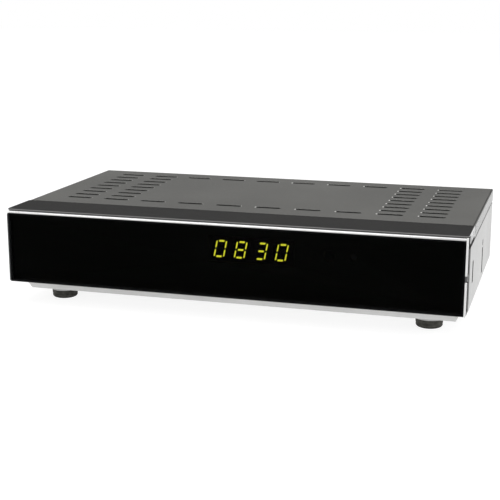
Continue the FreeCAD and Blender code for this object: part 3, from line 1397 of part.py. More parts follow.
def make_main_parts():
    """Memory, capacitors and pin headers of the main board."""
    chips = []
    first_x = f"{PROCESSOR_X} + processor_size / 2 + memory_gap + memory_width / 2"
    for column, row in ((0, -1), (0, 1), (1, -1)):
        x = f"{first_x} + {column} * (memory_width + memory_gap)"
        y = f"{PROCESSOR_Y} + ({row}) * (memory_length + memory_gap) / 2"
        chips.append(chip("memory_chip", x, y, "memory_width", "memory_length", "memory_thick"))
    keep("memory_chips", group("memory_group", chips))
    caps = []
    for i in range(int(SIZES["small_count"])):
        x = f"{MAIN_LEFT} + board_edge + ({i} + 1) * small_pitch"
        caps.append(can("board_capacitor", x, FRONT_ROW, "small_radius", "small_height"))
    keep("board_capacitors", group("board_capacitor_group", caps))
    plug_width = "(ribbon_width + 2 * header_wall)"
    headers = [
        chip("power_header", HARNESS_MAIN_X, HARNESS_Y, "header_width", "header_length", "header_height"),
        chip("ribbon_header", RIBBON_X, RIBBON_Y, plug_width, "header_width", "header_height"),
    ]
    keep("board_headers", group("board_header_group", headers))


def make_power_parts():
    """Insulating sheet, transformer and capacitors of the power board."""
    film_x = (f"{POWER_LEFT} + film_edge", f"{POWER_RIGHT} - film_edge")
    film_y = (f"{BOARD_FRONT} + board_edge + film_edge", f"{POWER_ROW} - film_edge")
    keep("power_insulator", block("insulator_film", film_x, film_y, rising(FLOOR, "film_thick")))
    middle_x = f"(({POWER_LEFT} + {POWER_RIGHT}) / 2)"
    bulk_y = f"({POWER_REAR} - bulk_rear)"
    middle_y = f"(({FRONT_ROW} + {bulk_y}) / 2)"
    slim = "(transformer_size - 2 * transformer_step)"
    low = "transformer_height - transformer_step"
    core = chip("transformer_core", middle_x, middle_y, "transformer_size", slim, "transformer_height")
    coil = chip("transformer_coil", middle_x, middle_y, slim, "transformer_size", low)
    keep("transformer", fuse("transformer_solid", [core, coil]))
    cans = [can("bulk_capacitor", f"{POWER_LEFT} + bulk_inset", bulk_y, "bulk_radius", "bulk_height")]
    for i in range(int(SIZES["output_count"])):
        x = f"{middle_x} + ({i} - (output_count - 1) / 2) * output_pitch"
        cans.append(can("output_capacitor", x, FRONT_ROW, "small_radius", "output_height"))
    keep("power_capacitors", group("power_capacitor_group", cans))


def make_heatsink_and_fuse():
    """Bent heat sink and the fuse in its two clips, on the power board."""
    x = f"({POWER_RIGHT} - sink_inset)"
    y = about(f"{POWER_REAR} - bulk_rear", "sink_length / 2")
    top = f"({BOARD_TOP} + sink_height)"
    plate = block("sink_plate", about(x, "sink_thick / 2"), y, (BOARD_TOP, top))
    flag = block("sink_flag", (f"{x} - sink_flag", x), y, (f"{top} - sink_thick", top))
    keep("power_heatsink", fuse("sink_solid", [plate, flag]))
    start = f"({POWER_LEFT} + fuse_inset)"
    fuse_start = (start, POWER_ROW, f"{BOARD_TOP} + fuse_rise")
    solids = [rod("fuse_tube", "fuse_radius", "fuse_length", fuse_start, "+X")]
    for place in ("clip_length / 2", "fuse_length - clip_length / 2"):
        clip_x = f"{start} + {place}"
        solids.append(chip("fuse_clip", clip_x, POWER_ROW, "clip_length", "clip_width", "clip_height"))
    keep("mains_fuse", fuse("fuse_solid", solids))


# ---------------------------------------------------------------- cables inside the case
def wire(stops, radius):
    """A wire through points, as straight runs joined by tangent arcs."""
    points = [FreeCAD.Vector(*[value(e) for e in stop]) for stop in stops]
    edges = []
    start = points[0]
    for before, corner, after in zip(points, points[1:], points[2:]):
        back = before - corner
        ahead = after - corner
        reach = WIRE_BEND_SHARE * min(back.Length, ahead.Length)
        half_turn = (math.pi - back.getAngle(ahead)) / 2
        bend_radius = reach / math.tan(half_turn)
        print(f"bend of radius {bend_radius:.2f} in a wire of radius {radius:.2f}")
        first = corner + back.normalize() * reach
        last = corner + ahead.normalize() * reach
        inward = (back + ahead).normalize()
        middle = corner + inward * (math.hypot(reach, bend_radius) - bend_radius)
        edges.append(Part.LineSegment(start, first).toShape())
        edges.append(Part.Arc(first, middle, last).toShape())
        start = last
    edges.append(Part.LineSegment(start, points[-1]).toShape())
    along = (points[1] - points[0]).normalize()
    section = Part.Wire([Part.Circle(points[0], along, radius).toShape()])
    return Part.Wire(edges).makePipeShell([section], True, False)


def make_wires(name, routes):
    """Round wires as one group, with their radius read from the sheet."""
    feature = doc.addObject("Part::Feature", name)
    feature.Shape = Part.Compound([wire(route, sheet.get("wire_radius")) for route in routes])
    keep(name, feature)


def make_cables():
    """Cables clipped inside the case: board to board, inlet to board, board to display."""
    rise = f"{HEADER_TOP} + harness_rise"
    harness = []
    for i in (-1, 0, 1):
        y = f"{HARNESS_Y} + ({i}) * wire_pitch"
        ends = [(HARNESS_POWER_X, BOARD_TOP), (HARNESS_POWER_X, rise), (HARNESS_MAIN_X, rise)]
        harness.append([(x, y, z) for x, z in ends + [(HARNESS_MAIN_X, HEADER_TOP)]])
    make_wires("power_harness", harness)
    start_y = f"{PANEL_BACK} - inlet_depth"
    turn_y = f"{start_y} - lead_drop"
    leads = []
    for sign in "-+":
        x = f"{INLET_X} {sign} pin_spacing / 2"
        leads.append([(x, start_y, MAINS_Z), (x, turn_y, MAINS_Z), (x, turn_y, BOARD_TOP)])
    make_wires("mains_leads", leads)
    strip_x = about(RIBBON_X, "ribbon_width / 2")
    strip_y = (DISPLAY_BACK, f"{RIBBON_Y} + ribbon_end")
    keep("front_ribbon", block("ribbon_run", strip_x, strip_y, rising(HEADER_TOP, "ribbon_thick")))


make_window()
make_tape()
make_trim()
make_frame()
make_display()
make_segments()
make_eye_and_lamp()
make_button()
make_cover()
make_chassis()
make_feet()
make_rear_panel()
make_tuner()
make_scart()
make_ports()
make_phono()
make_inlet()
make_rocker()
make_board("main_board", MAIN_LEFT, BOARD_SIDE, BOARD_REAR, MAIN_SPOTS)
make_board("power_board", POWER_LEFT, POWER_RIGHT, POWER_REAR, POWER_SPOTS)
make_processor()
make_main_parts()
make_power_parts()
make_heatsink_and_fuse()
make_cables()

# ---------------------------------------------------------------- check and write
doc.removeObject(ruler.Name)
doc.recompute()
failed = [item.Name for item in doc.Objects if {"Invalid", "Error"} & set(item.State)]
if failed:
    raise RuntimeError(f"objects failed: {failed}")
for part in PARTS:
    if part.Shape.isNull() or not part.Shape.isValid() or not part.Shape.Solids:
        raise RuntimeError(f"bad shape: {part.Label}")
os.makedirs("parts", exist_ok=True)
for part in PARTS:
    part.Shape.exportStep(f"parts/{part.Label}.step")
print(len(PARTS), "parts")
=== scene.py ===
"""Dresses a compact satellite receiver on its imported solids.

Every sub-assembly is a class: its sizes are fields, and its methods model the
pieces in edit mode and give them their finishes. All lengths are in metres.
"""
import logging
import math
from dataclasses import dataclass
from enum import Enum
from typing import Callable, Sequence

import bmesh
import bpy
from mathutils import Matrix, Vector


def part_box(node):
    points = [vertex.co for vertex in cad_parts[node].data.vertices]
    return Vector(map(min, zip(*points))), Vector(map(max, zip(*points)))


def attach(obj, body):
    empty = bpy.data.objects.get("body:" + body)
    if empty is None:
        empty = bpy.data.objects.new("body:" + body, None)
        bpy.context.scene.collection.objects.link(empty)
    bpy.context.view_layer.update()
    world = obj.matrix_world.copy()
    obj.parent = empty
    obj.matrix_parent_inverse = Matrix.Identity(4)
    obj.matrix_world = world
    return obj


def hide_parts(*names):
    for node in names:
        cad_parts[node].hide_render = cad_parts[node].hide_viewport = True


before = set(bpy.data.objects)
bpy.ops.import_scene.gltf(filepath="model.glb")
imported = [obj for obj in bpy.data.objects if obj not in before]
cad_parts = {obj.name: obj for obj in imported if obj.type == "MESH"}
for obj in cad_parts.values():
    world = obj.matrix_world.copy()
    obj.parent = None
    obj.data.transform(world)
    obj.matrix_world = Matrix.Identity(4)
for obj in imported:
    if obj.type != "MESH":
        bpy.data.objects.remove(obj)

LOG = logging.getLogger("receiver")
Colour = tuple[float, float, float]
Place = tuple[float, float, float]
Ring = tuple[float, float]
Socket = bpy.types.NodeSocket
FaceTest = Callable[[Vector, Vector], bool]
MM = 0.001
NEAR = 0.01 * MM
FLAT = 0.999
STRAND_HALF = 0.635 * MM
JACK_ROW = 40.0 * MM
TRACK_LENGTH = 9.0 * MM
TRACK_PITCH = 1.6 * MM
TRACK_WIDTH = 0.22 * MM
CASE = "case"
BUTTON = "button"
ROCKER = "rocker"


class Axis(Enum):
    """A direction along which a piece is turned or cut."""

    RIGHT = (1.0, 0.0, 0.0)
    BACK = (0.0, 1.0, 0.0)
    UP = (0.0, 0.0, 1.0)
    DOWN = (0.0, 0.0, -1.0)


class Pattern(Enum):
    """What kind of structure a finish shows."""

    CLOUD = "soft clouding"
    SPANGLE = "zinc crystals"
    BRUSHED = "fine lines along one axis"
    GRAIN = "moulded grain"
    PAINT = "baked paint, glossier on upright flanges"
    BOARD = "copper tracks under solder mask"
    RIBBON = "parallel conductors"
    SLEEVE = "shrink sleeve with a stripe and a bare top"
    JACKS = "one colour for each of three sockets in a row"


# ------------------------------------------------------------------ material graphs
class Graph:
    """A material's node tree, with short calls for adding and joining nodes."""

    def __init__(self, name: str) -> None:
        """Starts an empty tree with one shader.

        Args:
            name: The material's name.
        """
        self.material = bpy.data.materials.new(name)
        self.material.use_nodes = True
        self.tree = self.material.node_tree
        self.tree.nodes.clear()
        self.shader = self.add("ShaderNodeBsdfPrincipled")
        self.output = self.add("ShaderNodeOutputMaterial")
        self.join(self.shader.outputs["BSDF"], self.output.inputs["Surface"])
        self.place = self.add("ShaderNodeTexCoord").outputs["Object"]

    def add(self, kind: str, **inputs: object) -> bpy.types.Node:
        """Adds a node.

        Args:
            kind: Blender's name of the node type.
            **inputs: Values for its sockets, with underscores for spaces.

        Returns:
            The new node.
        """
        node = self.tree.nodes.new(kind)
        for name, content in inputs.items():
            node.inputs[name.replace("_", " ")].default_value = content
        return node

    def join(self, start: Socket, end: Socket) -> None:
        """Links two sockets."""
        self.tree.links.new(start, end)

    def stretched(self, scale: Place) -> Socket:
        """Object coordinates scaled by axis.

        Args:
            scale: The factor along each axis.

        Returns:
            The scaled coordinates.
        """
        node = self.add("ShaderNodeMapping")
        node.inputs["Scale"].default_value = scale
        self.join(self.place, node.inputs["Vector"])
        return node.outputs["Vector"]

    def noise(self, scale: float, detail: float = 3.0, stretch: Place = (1.0, 1.0, 1.0)) -> Socket:
        """Smooth noise on object coordinates.

        Args:
            scale: How many features lie in a metre.
            detail: How many finer layers it has.
            stretch: The factor along each axis.

        Returns:
            The noise from 0 to 1.
        """
        node = self.add("ShaderNodeTexNoise", Scale=scale, Detail=detail)
        self.join(self.stretched(stretch), node.inputs["Vector"])
        return node.outputs["Fac"]

    def cells(self, scale: float, output: str = "Color") -> Socket:
        """Random cells on object coordinates.

        Args:
            scale: How many cells lie in a metre.
            output: Which output of the cell texture is meant.

        Returns:
            That output.
        """
        node = self.add("ShaderNodeTexVoronoi", Scale=scale)
        self.join(self.place, node.inputs["Vector"])
        return node.outputs[output]

    def ramp(self, value: Socket, stops: Sequence[tuple[float, Colour]]) -> Socket:
        """Turns a value into colours.

        Args:
            value: The value from 0 to 1.
            stops: Places and their colours, in order.

        Returns:
            The colour.
        """
        node = self.add("ShaderNodeValToRGB")
        elements = node.color_ramp.elements
        while len(elements) < len(stops):
            elements.new(0.5)
        for element, (place, colour) in zip(elements, stops):
            element.position = place
            element.color = (*colour, 1.0)
        self.join(value, node.inputs["Fac"])
        return node.outputs["Color"]

    def span(self, value: Socket, low: float, high: float,
             start: float = 0.0, end: float = 1.0) -> Socket:
        """Maps a value from one span to another.

        Args:
            value: The value.
            low: What the start becomes.
            high: What the end becomes.
            start: Where the value's own span starts.
            end: Where it ends.

        Returns:
            The mapped value.
        """
        node = self.add("ShaderNodeMapRange", From_Min=start, From_Max=end, To_Min=low, To_Max=high)
        self.join(value, node.inputs["Value"])
        return node.outputs["Result"]

    def axis_value(self, axis: str, source: Socket | None = None) -> Socket:
        """One coordinate of a vector.

        Args:
            axis: The coordinate's name.
            source: The vector, which is the place unless another is given.

        Returns:
            The coordinate.
        """
        node = self.add("ShaderNodeSeparateXYZ")
        self.join(source or self.place, node.inputs["Vector"])
        return node.outputs[axis]

    def maths(self, operation: str, first: Socket, second: float | Socket) -> Socket:
        """One sum on a value.

        Args:
            operation: Blender's name of the operation.
            first: The value.
            second: A number or another value.

        Returns:
            The result.
        """
        node = self.add("ShaderNodeMath")
        node.operation = operation
        self.join(first, node.inputs[0])
        if isinstance(second, Socket):
            self.join(second, node.inputs[1])
        else:
            node.inputs[1].default_value = second
        return node.outputs["Value"]

    def mix(self, factor: Socket, low: Socket | Colour, high: Socket | Colour) -> Socket:
        """Blends two colours.

        Args:
            factor: How much of the second one shows.
            low: The first colour.
            high: The second colour.

        Returns:
            The blend.
        """
        node = self.add("ShaderNodeMix")
        node.data_type = "RGBA"
        self.join(factor, node.inputs[0])
        for index, colour in ((6, low), (7, high)):
            if isinstance(colour, Socket):
                self.join(colour, node.inputs[index])
            else:
                node.inputs[index].default_value = (*colour, 1.0)
        return node.outputs[2]

    def bump(self, height: Socket, distance: float) -> None:
        """Lets a height stand out of the surface.

        Args:
            height: The height from 0 to 1.
            distance: How far 1 stands out, in metres.
        """
        node = self.add("ShaderNodeBump", Strength=1.0, Distance=distance)
        self.join(height, node.inputs["Height"])
        self.join(node.outputs["Normal"], self.shader.inputs["Normal"])

    def set(self, **inputs: object) -> None:
        """Sets sockets of the shader, with underscores for spaces."""
        for name, content in inputs.items():
            self.shader.inputs[name.replace("_", " ")].default_value = content


class Surface:
    """What dresses a piece: it is made as a node material when it is first used."""

    name: str

    def material(self) -> bpy.types.Material:
        """The material, made once and then kept."""
        return bpy.data.materials.get(self.name) or self.make()

    def make(self) -> bpy.types.Material:
        """Builds the node material, as each kind of surface does in its own way."""
        raise NotImplementedError


@dataclass(frozen=True)
class Finish(Surface):
    """An opaque finish: metal, paint, plastic, rubber or film.

    Attributes:
        name: The material's name.
        base: Its main colour.
        shade: The second colour of its clouding.
        pattern: Which structure it shows.
        metallic: How metallic it is.
        roughness: Its middle roughness.
        swing: How far the roughness varies.
        cloud: Clouds per metre.
        fine: Fine features per metre.
        relief: Height of the fine features.
        along: Which axis brushed lines follow.
        specular: Strength of the dielectric reflection.
    """

    name: str
    base: Colour
    shade: Colour
    pattern: Pattern = Pattern.CLOUD
    metallic: float = 0.0
    roughness: float = 0.5
    swing: float = 0.06
    cloud: float = 30.0
    fine: float = 2500.0
    relief: float = 0.00001
    along: str = "X"
    specular: float = 0.5

    def make(self) -> bpy.types.Material:
        """Builds the node material.

        Returns:
            The new material.
        """
        graph = Graph(self.name)
        graph.set(Metallic=self.metallic, Specular_IOR_Level=self.specular)
        clouding = graph.noise(self.cloud)
        colour = graph.ramp(clouding, ((0.3, self.shade), (0.7, self.base)))
        height = graph.noise(self.fine, 2.0)
        if self.pattern is Pattern.SPANGLE:
            crystals = graph.axis_value("X", graph.cells(self.fine))
            colour = graph.mix(graph.span(crystals, 0.0, 0.22), colour, self.shade)
            height = graph.noise(self.fine * 3.0)
        elif self.pattern is Pattern.BRUSHED:
            stretch = tuple(0.02 if name == self.along else 1.0 for name in "XYZ")
            height = graph.noise(self.fine, 4.0, stretch)
        elif self.pattern in (Pattern.GRAIN, Pattern.PAINT):
            height = graph.cells(self.fine, "Distance")
        elif self.pattern is Pattern.BOARD:
            colour, height = self.board_tracks(graph, colour)
        elif self.pattern is Pattern.RIBBON:
            strand = graph.maths("PINGPONG", graph.axis_value("X"), STRAND_HALF)
            height = graph.span(strand, 0.0, 1.0, 0.0, 0.5 * MM)
            colour = graph.mix(height, self.shade, colour)
        elif self.pattern is Pattern.SLEEVE:
            colour = self.sleeve(graph, colour)
        elif self.pattern is Pattern.JACKS:
            along = graph.span(graph.axis_value("X"), 0.0, 1.0, 0.0, JACK_ROW)
            white = graph.mix(graph.maths("GREATER_THAN", along, 0.35), colour, (0.75, 0.75, 0.73))
            colour = graph.mix(graph.maths("GREATER_THAN", along, 0.67), white, (0.6, 0.03, 0.02))
        graph.join(colour, graph.shader.inputs["Base Color"])
        rough = graph.span(height, self.roughness - self.swing, self.roughness + self.swing, 0.3, 0.7)
        if self.pattern is Pattern.PAINT:
            normal = graph.add("ShaderNodeTexCoord").outputs["Normal"]
            sideways = graph.maths("ABSOLUTE", graph.axis_value("X", normal), 0.0)
            rough = graph.maths("MULTIPLY", rough, graph.span(sideways, 1.0, 0.3, 0.8, 1.0))
        graph.join(rough, graph.shader.inputs["Roughness"])
        graph.bump(height, self.relief)
        return graph.material

    def board_tracks(self, graph: Graph, colour: Socket) -> tuple[Socket, Socket]:
        """Tracks and solder pads of a circuit board.

        Args:
            graph: The material's graph.
            colour: The solder mask's colour.

        Returns:
            The colour with the tracks and pads, and their height.
        """
        bricks = graph.add("ShaderNodeTexBrick", Scale=1.0, Mortar_Size=TRACK_WIDTH, Mortar_Smooth=0.1,
                           Brick_Width=TRACK_LENGTH, Row_Height=TRACK_PITCH)
        bricks.offset = 0.37
        graph.join(graph.place, bricks.inputs["Vector"])
        tracks = bricks.outputs["Fac"]
        lighter = tuple(min(1.0, channel * 1.9 + 0.02) for channel in self.base)
        with_tracks = graph.mix(tracks, colour, lighter)
        pads = graph.span(graph.cells(330.0, "Distance"), 1.0, 0.0, 0.16, 0.2)
        return graph.mix(pads, with_tracks, (0.62, 0.6, 0.54)), graph.maths("MAXIMUM", tracks, pads)

    def sleeve(self, graph: Graph, colour: Socket) -> Socket:
        """A light stripe down one side of a can and a bare metal top.

        Args:
            graph: The material's graph.
            colour: The sleeve's colour.

        Returns:
            The colour with both.
        """
        normal = graph.add("ShaderNodeTexCoord").outputs["Normal"]
        stripe = graph.maths("GREATER_THAN", graph.axis_value("X", normal), 0.93)
        striped = graph.mix(stripe, colour, (0.55, 0.56, 0.58))
        top = graph.maths("GREATER_THAN", graph.axis_value("Z", normal), 0.8)
        return graph.mix(top, striped, (0.6, 0.6, 0.6))


@dataclass(frozen=True)
class SmokedAcrylic(Surface):
    """Dark clear plastic of the display window.

    Attributes:
        name: The material's name.
        tint: What it lets through.
        bend: Its refractive index.
    """

    name: str = "smoked_acrylic_finish"
    tint: Colour = (0.06, 0.06, 0.063)
    bend: float = 1.08

    def make(self) -> bpy.types.Material:
        """Builds the node material.

        Returns:
            The new material.
        """
        graph = Graph(self.name)
        graph.set(Transmission_Weight=1.0, IOR=self.bend)
        lighter = tuple(channel * 1.08 for channel in self.tint)
        streaks = graph.noise(14.0, 2.0, (1.0, 1.0, 3.0))
        colour = graph.ramp(streaks, ((0.35, self.tint), (0.65, lighter)))
        graph.join(colour, graph.shader.inputs["Base Color"])
        graph.join(graph.span(graph.noise(60.0), 0.0, 0.03), graph.shader.inputs["Roughness"])
        return graph.material


@dataclass(frozen=True)
class Glow(Surface):
    """A lit display segment or lamp.

    Attributes:
        name: The material's name.
        light: The colour of its light.
        strength: How bright it is.
    """

    name: str
    light: Colour
    strength: float

    def make(self) -> bpy.types.Material:
        """Builds the node material.

        Returns:
            The new material.
        """
        graph = Graph(self.name)
        graph.set(Emission_Strength=self.strength, Roughness=0.4)
        dimmer = tuple(channel * 0.8 for channel in self.light)
        colour = graph.ramp(graph.noise(900.0), ((0.3, dimmer), (0.6, self.light)))
        graph.join(colour, graph.shader.inputs["Emission Color"])
        graph.join(colour, graph.shader.inputs["Base Color"])
        return graph.material


LID_PAINT = Finish("satin_lid_paint", (0.066, 0.0655, 0.0597), (0.0447, 0.0442, 0.0404), Pattern.PAINT,
                   roughness=0.55, swing=0.05, cloud=12.0, fine=2600.0, relief=0.00002, specular=0.19)
ZINC = Finish("zinc_plated_sheet", (0.52, 0.52, 0.515), (0.43, 0.43, 0.425), Pattern.SPANGLE,
              metallic=0.65, roughness=0.4, swing=0.07, cloud=22.0, fine=240.0, relief=0.000008)
SCREW_ZINC = Finish("zinc_plated_screw", (0.62, 0.62, 0.6), (0.45, 0.45, 0.44), Pattern.CLOUD,
                    metallic=1.0, roughness=0.33, cloud=300.0)
SILVER = Finish("silver_trim_paint", (0.5, 0.5, 0.5), (0.44, 0.44, 0.44), Pattern.CLOUD,
                metallic=1.0, roughness=0.26, cloud=25.0, fine=4000.0, relief=0.000004)
# Painted highlight: a near-white copy of the silver for the front edges of the trim's cheeks.
CHEEK_HIGHLIGHT = Finish("painted_cheek_highlight", (0.94, 0.94, 0.93), (0.88, 0.88, 0.87), roughness=0.35,
                      cloud=60.0)
# Dark moulding of the frame; also laid on the trim cheeks' rear parts as painted shade.
DARK_MOULDING = Finish("dark_moulding", (0.021, 0.0206, 0.0202), (0.018, 0.0176, 0.0172), Pattern.GRAIN,
                       roughness=0.7, cloud=20.0, fine=2200.0, relief=0.00002, specular=0.04)
# Painted highlight: a lighter grey for the band's rounded nose.
NOSE_HIGHLIGHT = Finish("painted_nose_highlight", (0.13, 0.128, 0.125), (0.1, 0.099, 0.097), roughness=0.42,
                    cloud=60.0, specular=0.4)
BLACK_PLASTIC = Finish("black_plastic", (0.028, 0.028, 0.03), (0.02, 0.02, 0.021), Pattern.GRAIN,
                       roughness=0.45, cloud=60.0, fine=2400.0, relief=0.000015)
MASK = Finish("mask_film", (0.01, 0.01, 0.011), (0.006, 0.006, 0.006), roughness=0.6, fine=4000.0)
RUBBER = Finish("foot_rubber", (0.125, 0.122, 0.108), (0.036, 0.035, 0.031), Pattern.GRAIN,
                roughness=0.72, cloud=300.0, fine=1800.0, relief=0.00004, specular=0.3)
# Painted light: a lighter copy of the zinc for the drawn pan's front faces.
PAN_FRONT_LIGHT = Finish("painted_light_pan_zinc", (0.8, 0.8, 0.79), (0.66, 0.66, 0.65), Pattern.SPANGLE,
                  metallic=0.65, roughness=0.42, swing=0.07, cloud=30.0, fine=240.0, relief=0.000008)
# Painted shade: a near-black finish for the bottom rim of the feet.
FOOT_RIM_SHADE = Finish("painted_foot_rim_shade", (0.012, 0.012, 0.012), (0.008, 0.008, 0.008), roughness=0.8,
                   cloud=300.0, specular=0.1)
# Painted shade: a darker copy of the lid paint for the side folds and the rear edge.
LID_EDGE_SHADE = Finish("painted_lid_edge_shade", (0.022, 0.0218, 0.02), (0.016, 0.0158, 0.015), roughness=0.6,
                  cloud=60.0, specular=0.1)
BUTTON_GREY = Finish("button_grey", (0.4, 0.4, 0.4), (0.33, 0.33, 0.33), roughness=0.4, cloud=200.0)
SEGMENT_OFF = Finish("segment_unlit", (0.03, 0.035, 0.02), (0.02, 0.024, 0.014), roughness=0.35)
BOARD_GREEN = Finish("green_board", (0.02, 0.12, 0.05), (0.012, 0.085, 0.035), Pattern.BOARD,
                     roughness=0.35, cloud=40.0, relief=0.00004)
BOARD_BROWN = Finish("brown_board", (0.34, 0.22, 0.09), (0.27, 0.17, 0.07), Pattern.BOARD,
                     roughness=0.5, cloud=40.0, relief=0.00004)
TIN = Finish("tin_plate", (0.66, 0.65, 0.62), (0.52, 0.51, 0.49), Pattern.BRUSHED,
             metallic=1.0, roughness=0.3, fine=1500.0, relief=0.000006)
NICKEL = Finish("nickel_plate", (0.74, 0.72, 0.68), (0.6, 0.58, 0.55), metallic=1.0, roughness=0.2,
                cloud=200.0, relief=0.000003)
GOLD = Finish("gilt_contact", (0.83, 0.6, 0.25), (0.7, 0.48, 0.18), metallic=1.0, roughness=0.25,
              cloud=500.0)
BRASS = Finish("turned_brass", (0.72, 0.56, 0.28), (0.6, 0.45, 0.2), Pattern.BRUSHED, metallic=1.0,
               roughness=0.32, along="Z")
WHITE_PLASTIC = Finish("white_plastic", (0.76, 0.75, 0.71), (0.68, 0.67, 0.63), roughness=0.4, cloud=120.0)
ALUMINIUM = Finish("extruded_aluminium", (0.62, 0.63, 0.64), (0.5, 0.51, 0.52), Pattern.BRUSHED,
                   metallic=1.0, roughness=0.38, along="Y", relief=0.00001)
CHIP = Finish("chip_package", (0.022, 0.022, 0.024), (0.016, 0.016, 0.017), Pattern.GRAIN, roughness=0.6,
              fine=5000.0)
SLEEVE = Finish("capacitor_sleeve", (0.025, 0.03, 0.05), (0.018, 0.02, 0.035), Pattern.SLEEVE,
                roughness=0.3)
COIL_TAPE = Finish("transformer_tape", (0.6, 0.46, 0.06), (0.5, 0.37, 0.05), roughness=0.35, cloud=90.0)
FILM = Finish("insulating_film", (0.6, 0.6, 0.56), (0.52, 0.52, 0.49), roughness=0.3, cloud=50.0)
WIRE_RED = Finish("red_insulation", (0.5, 0.025, 0.02), (0.4, 0.02, 0.015), roughness=0.4, cloud=300.0)
WIRE_BLUE = Finish("blue_insulation", (0.03, 0.09, 0.4), (0.02, 0.07, 0.3), roughness=0.4, cloud=300.0)
RIBBON = Finish("ribbon_cable", (0.5, 0.5, 0.5), (0.3, 0.3, 0.3), Pattern.RIBBON, roughness=0.45,
                relief=0.0002)
CERAMIC = Finish("ceramic_body", (0.42, 0.3, 0.18), (0.34, 0.24, 0.14), roughness=0.5, cloud=600.0)
SOLDER = Finish("solder", (0.62, 0.62, 0.6), (0.5, 0.5, 0.49), metallic=1.0, roughness=0.35, cloud=800.0)
PAINT_MARK = Finish("white_marking", (0.8, 0.8, 0.79), (0.72, 0.72, 0.71), roughness=0.5, cloud=800.0)
# Painted highlight: a light metallic finish for the slots' rear edges and inner ends.
SLOT_RIM_HIGHLIGHT = Finish("painted_slot_rim_highlight", (0.62, 0.62, 0.6), (0.5, 0.5, 0.48), metallic=0.5, roughness=0.4,
                  cloud=500.0)
SHADED_CUT = Finish("shaded_slot_wall", (0.02, 0.02, 0.019), (0.012, 0.012, 0.012), roughness=0.8,
                    cloud=400.0, specular=0.1)
JACK_RINGS = Finish("coloured_jack_rings", (0.7, 0.5, 0.03), (0.6, 0.42, 0.02), Pattern.JACKS,
                    roughness=0.35, cloud=300.0)
LENS_GREEN = Finish("green_lens", (0.05, 0.4, 0.08), (0.03, 0.3, 0.05), roughness=0.2, cloud=400.0)
LENS_AMBER = Finish("amber_lens", (0.6, 0.3, 0.03), (0.5, 0.22, 0.02), roughness=0.2, cloud=400.0)
FERRITE = Finish("ferrite", (0.05, 0.05, 0.055), (0.035, 0.035, 0.04), Pattern.GRAIN, roughness=0.5,
                 cloud=200.0)
DIGIT_LIGHT = Glow("digit_light", (0.6, 0.6, 0.03), 16.0)
WINDOW = SmokedAcrylic()

MAIN_BOARD_NODES = (
    "processor", "memory_chips", "board_capacitors", "board_headers", "tuner_can", "scart_insert",
    "hdmi_socket", "phono_block", "ethernet_socket", "usb_socket", "front_ribbon", "power_harness",
)


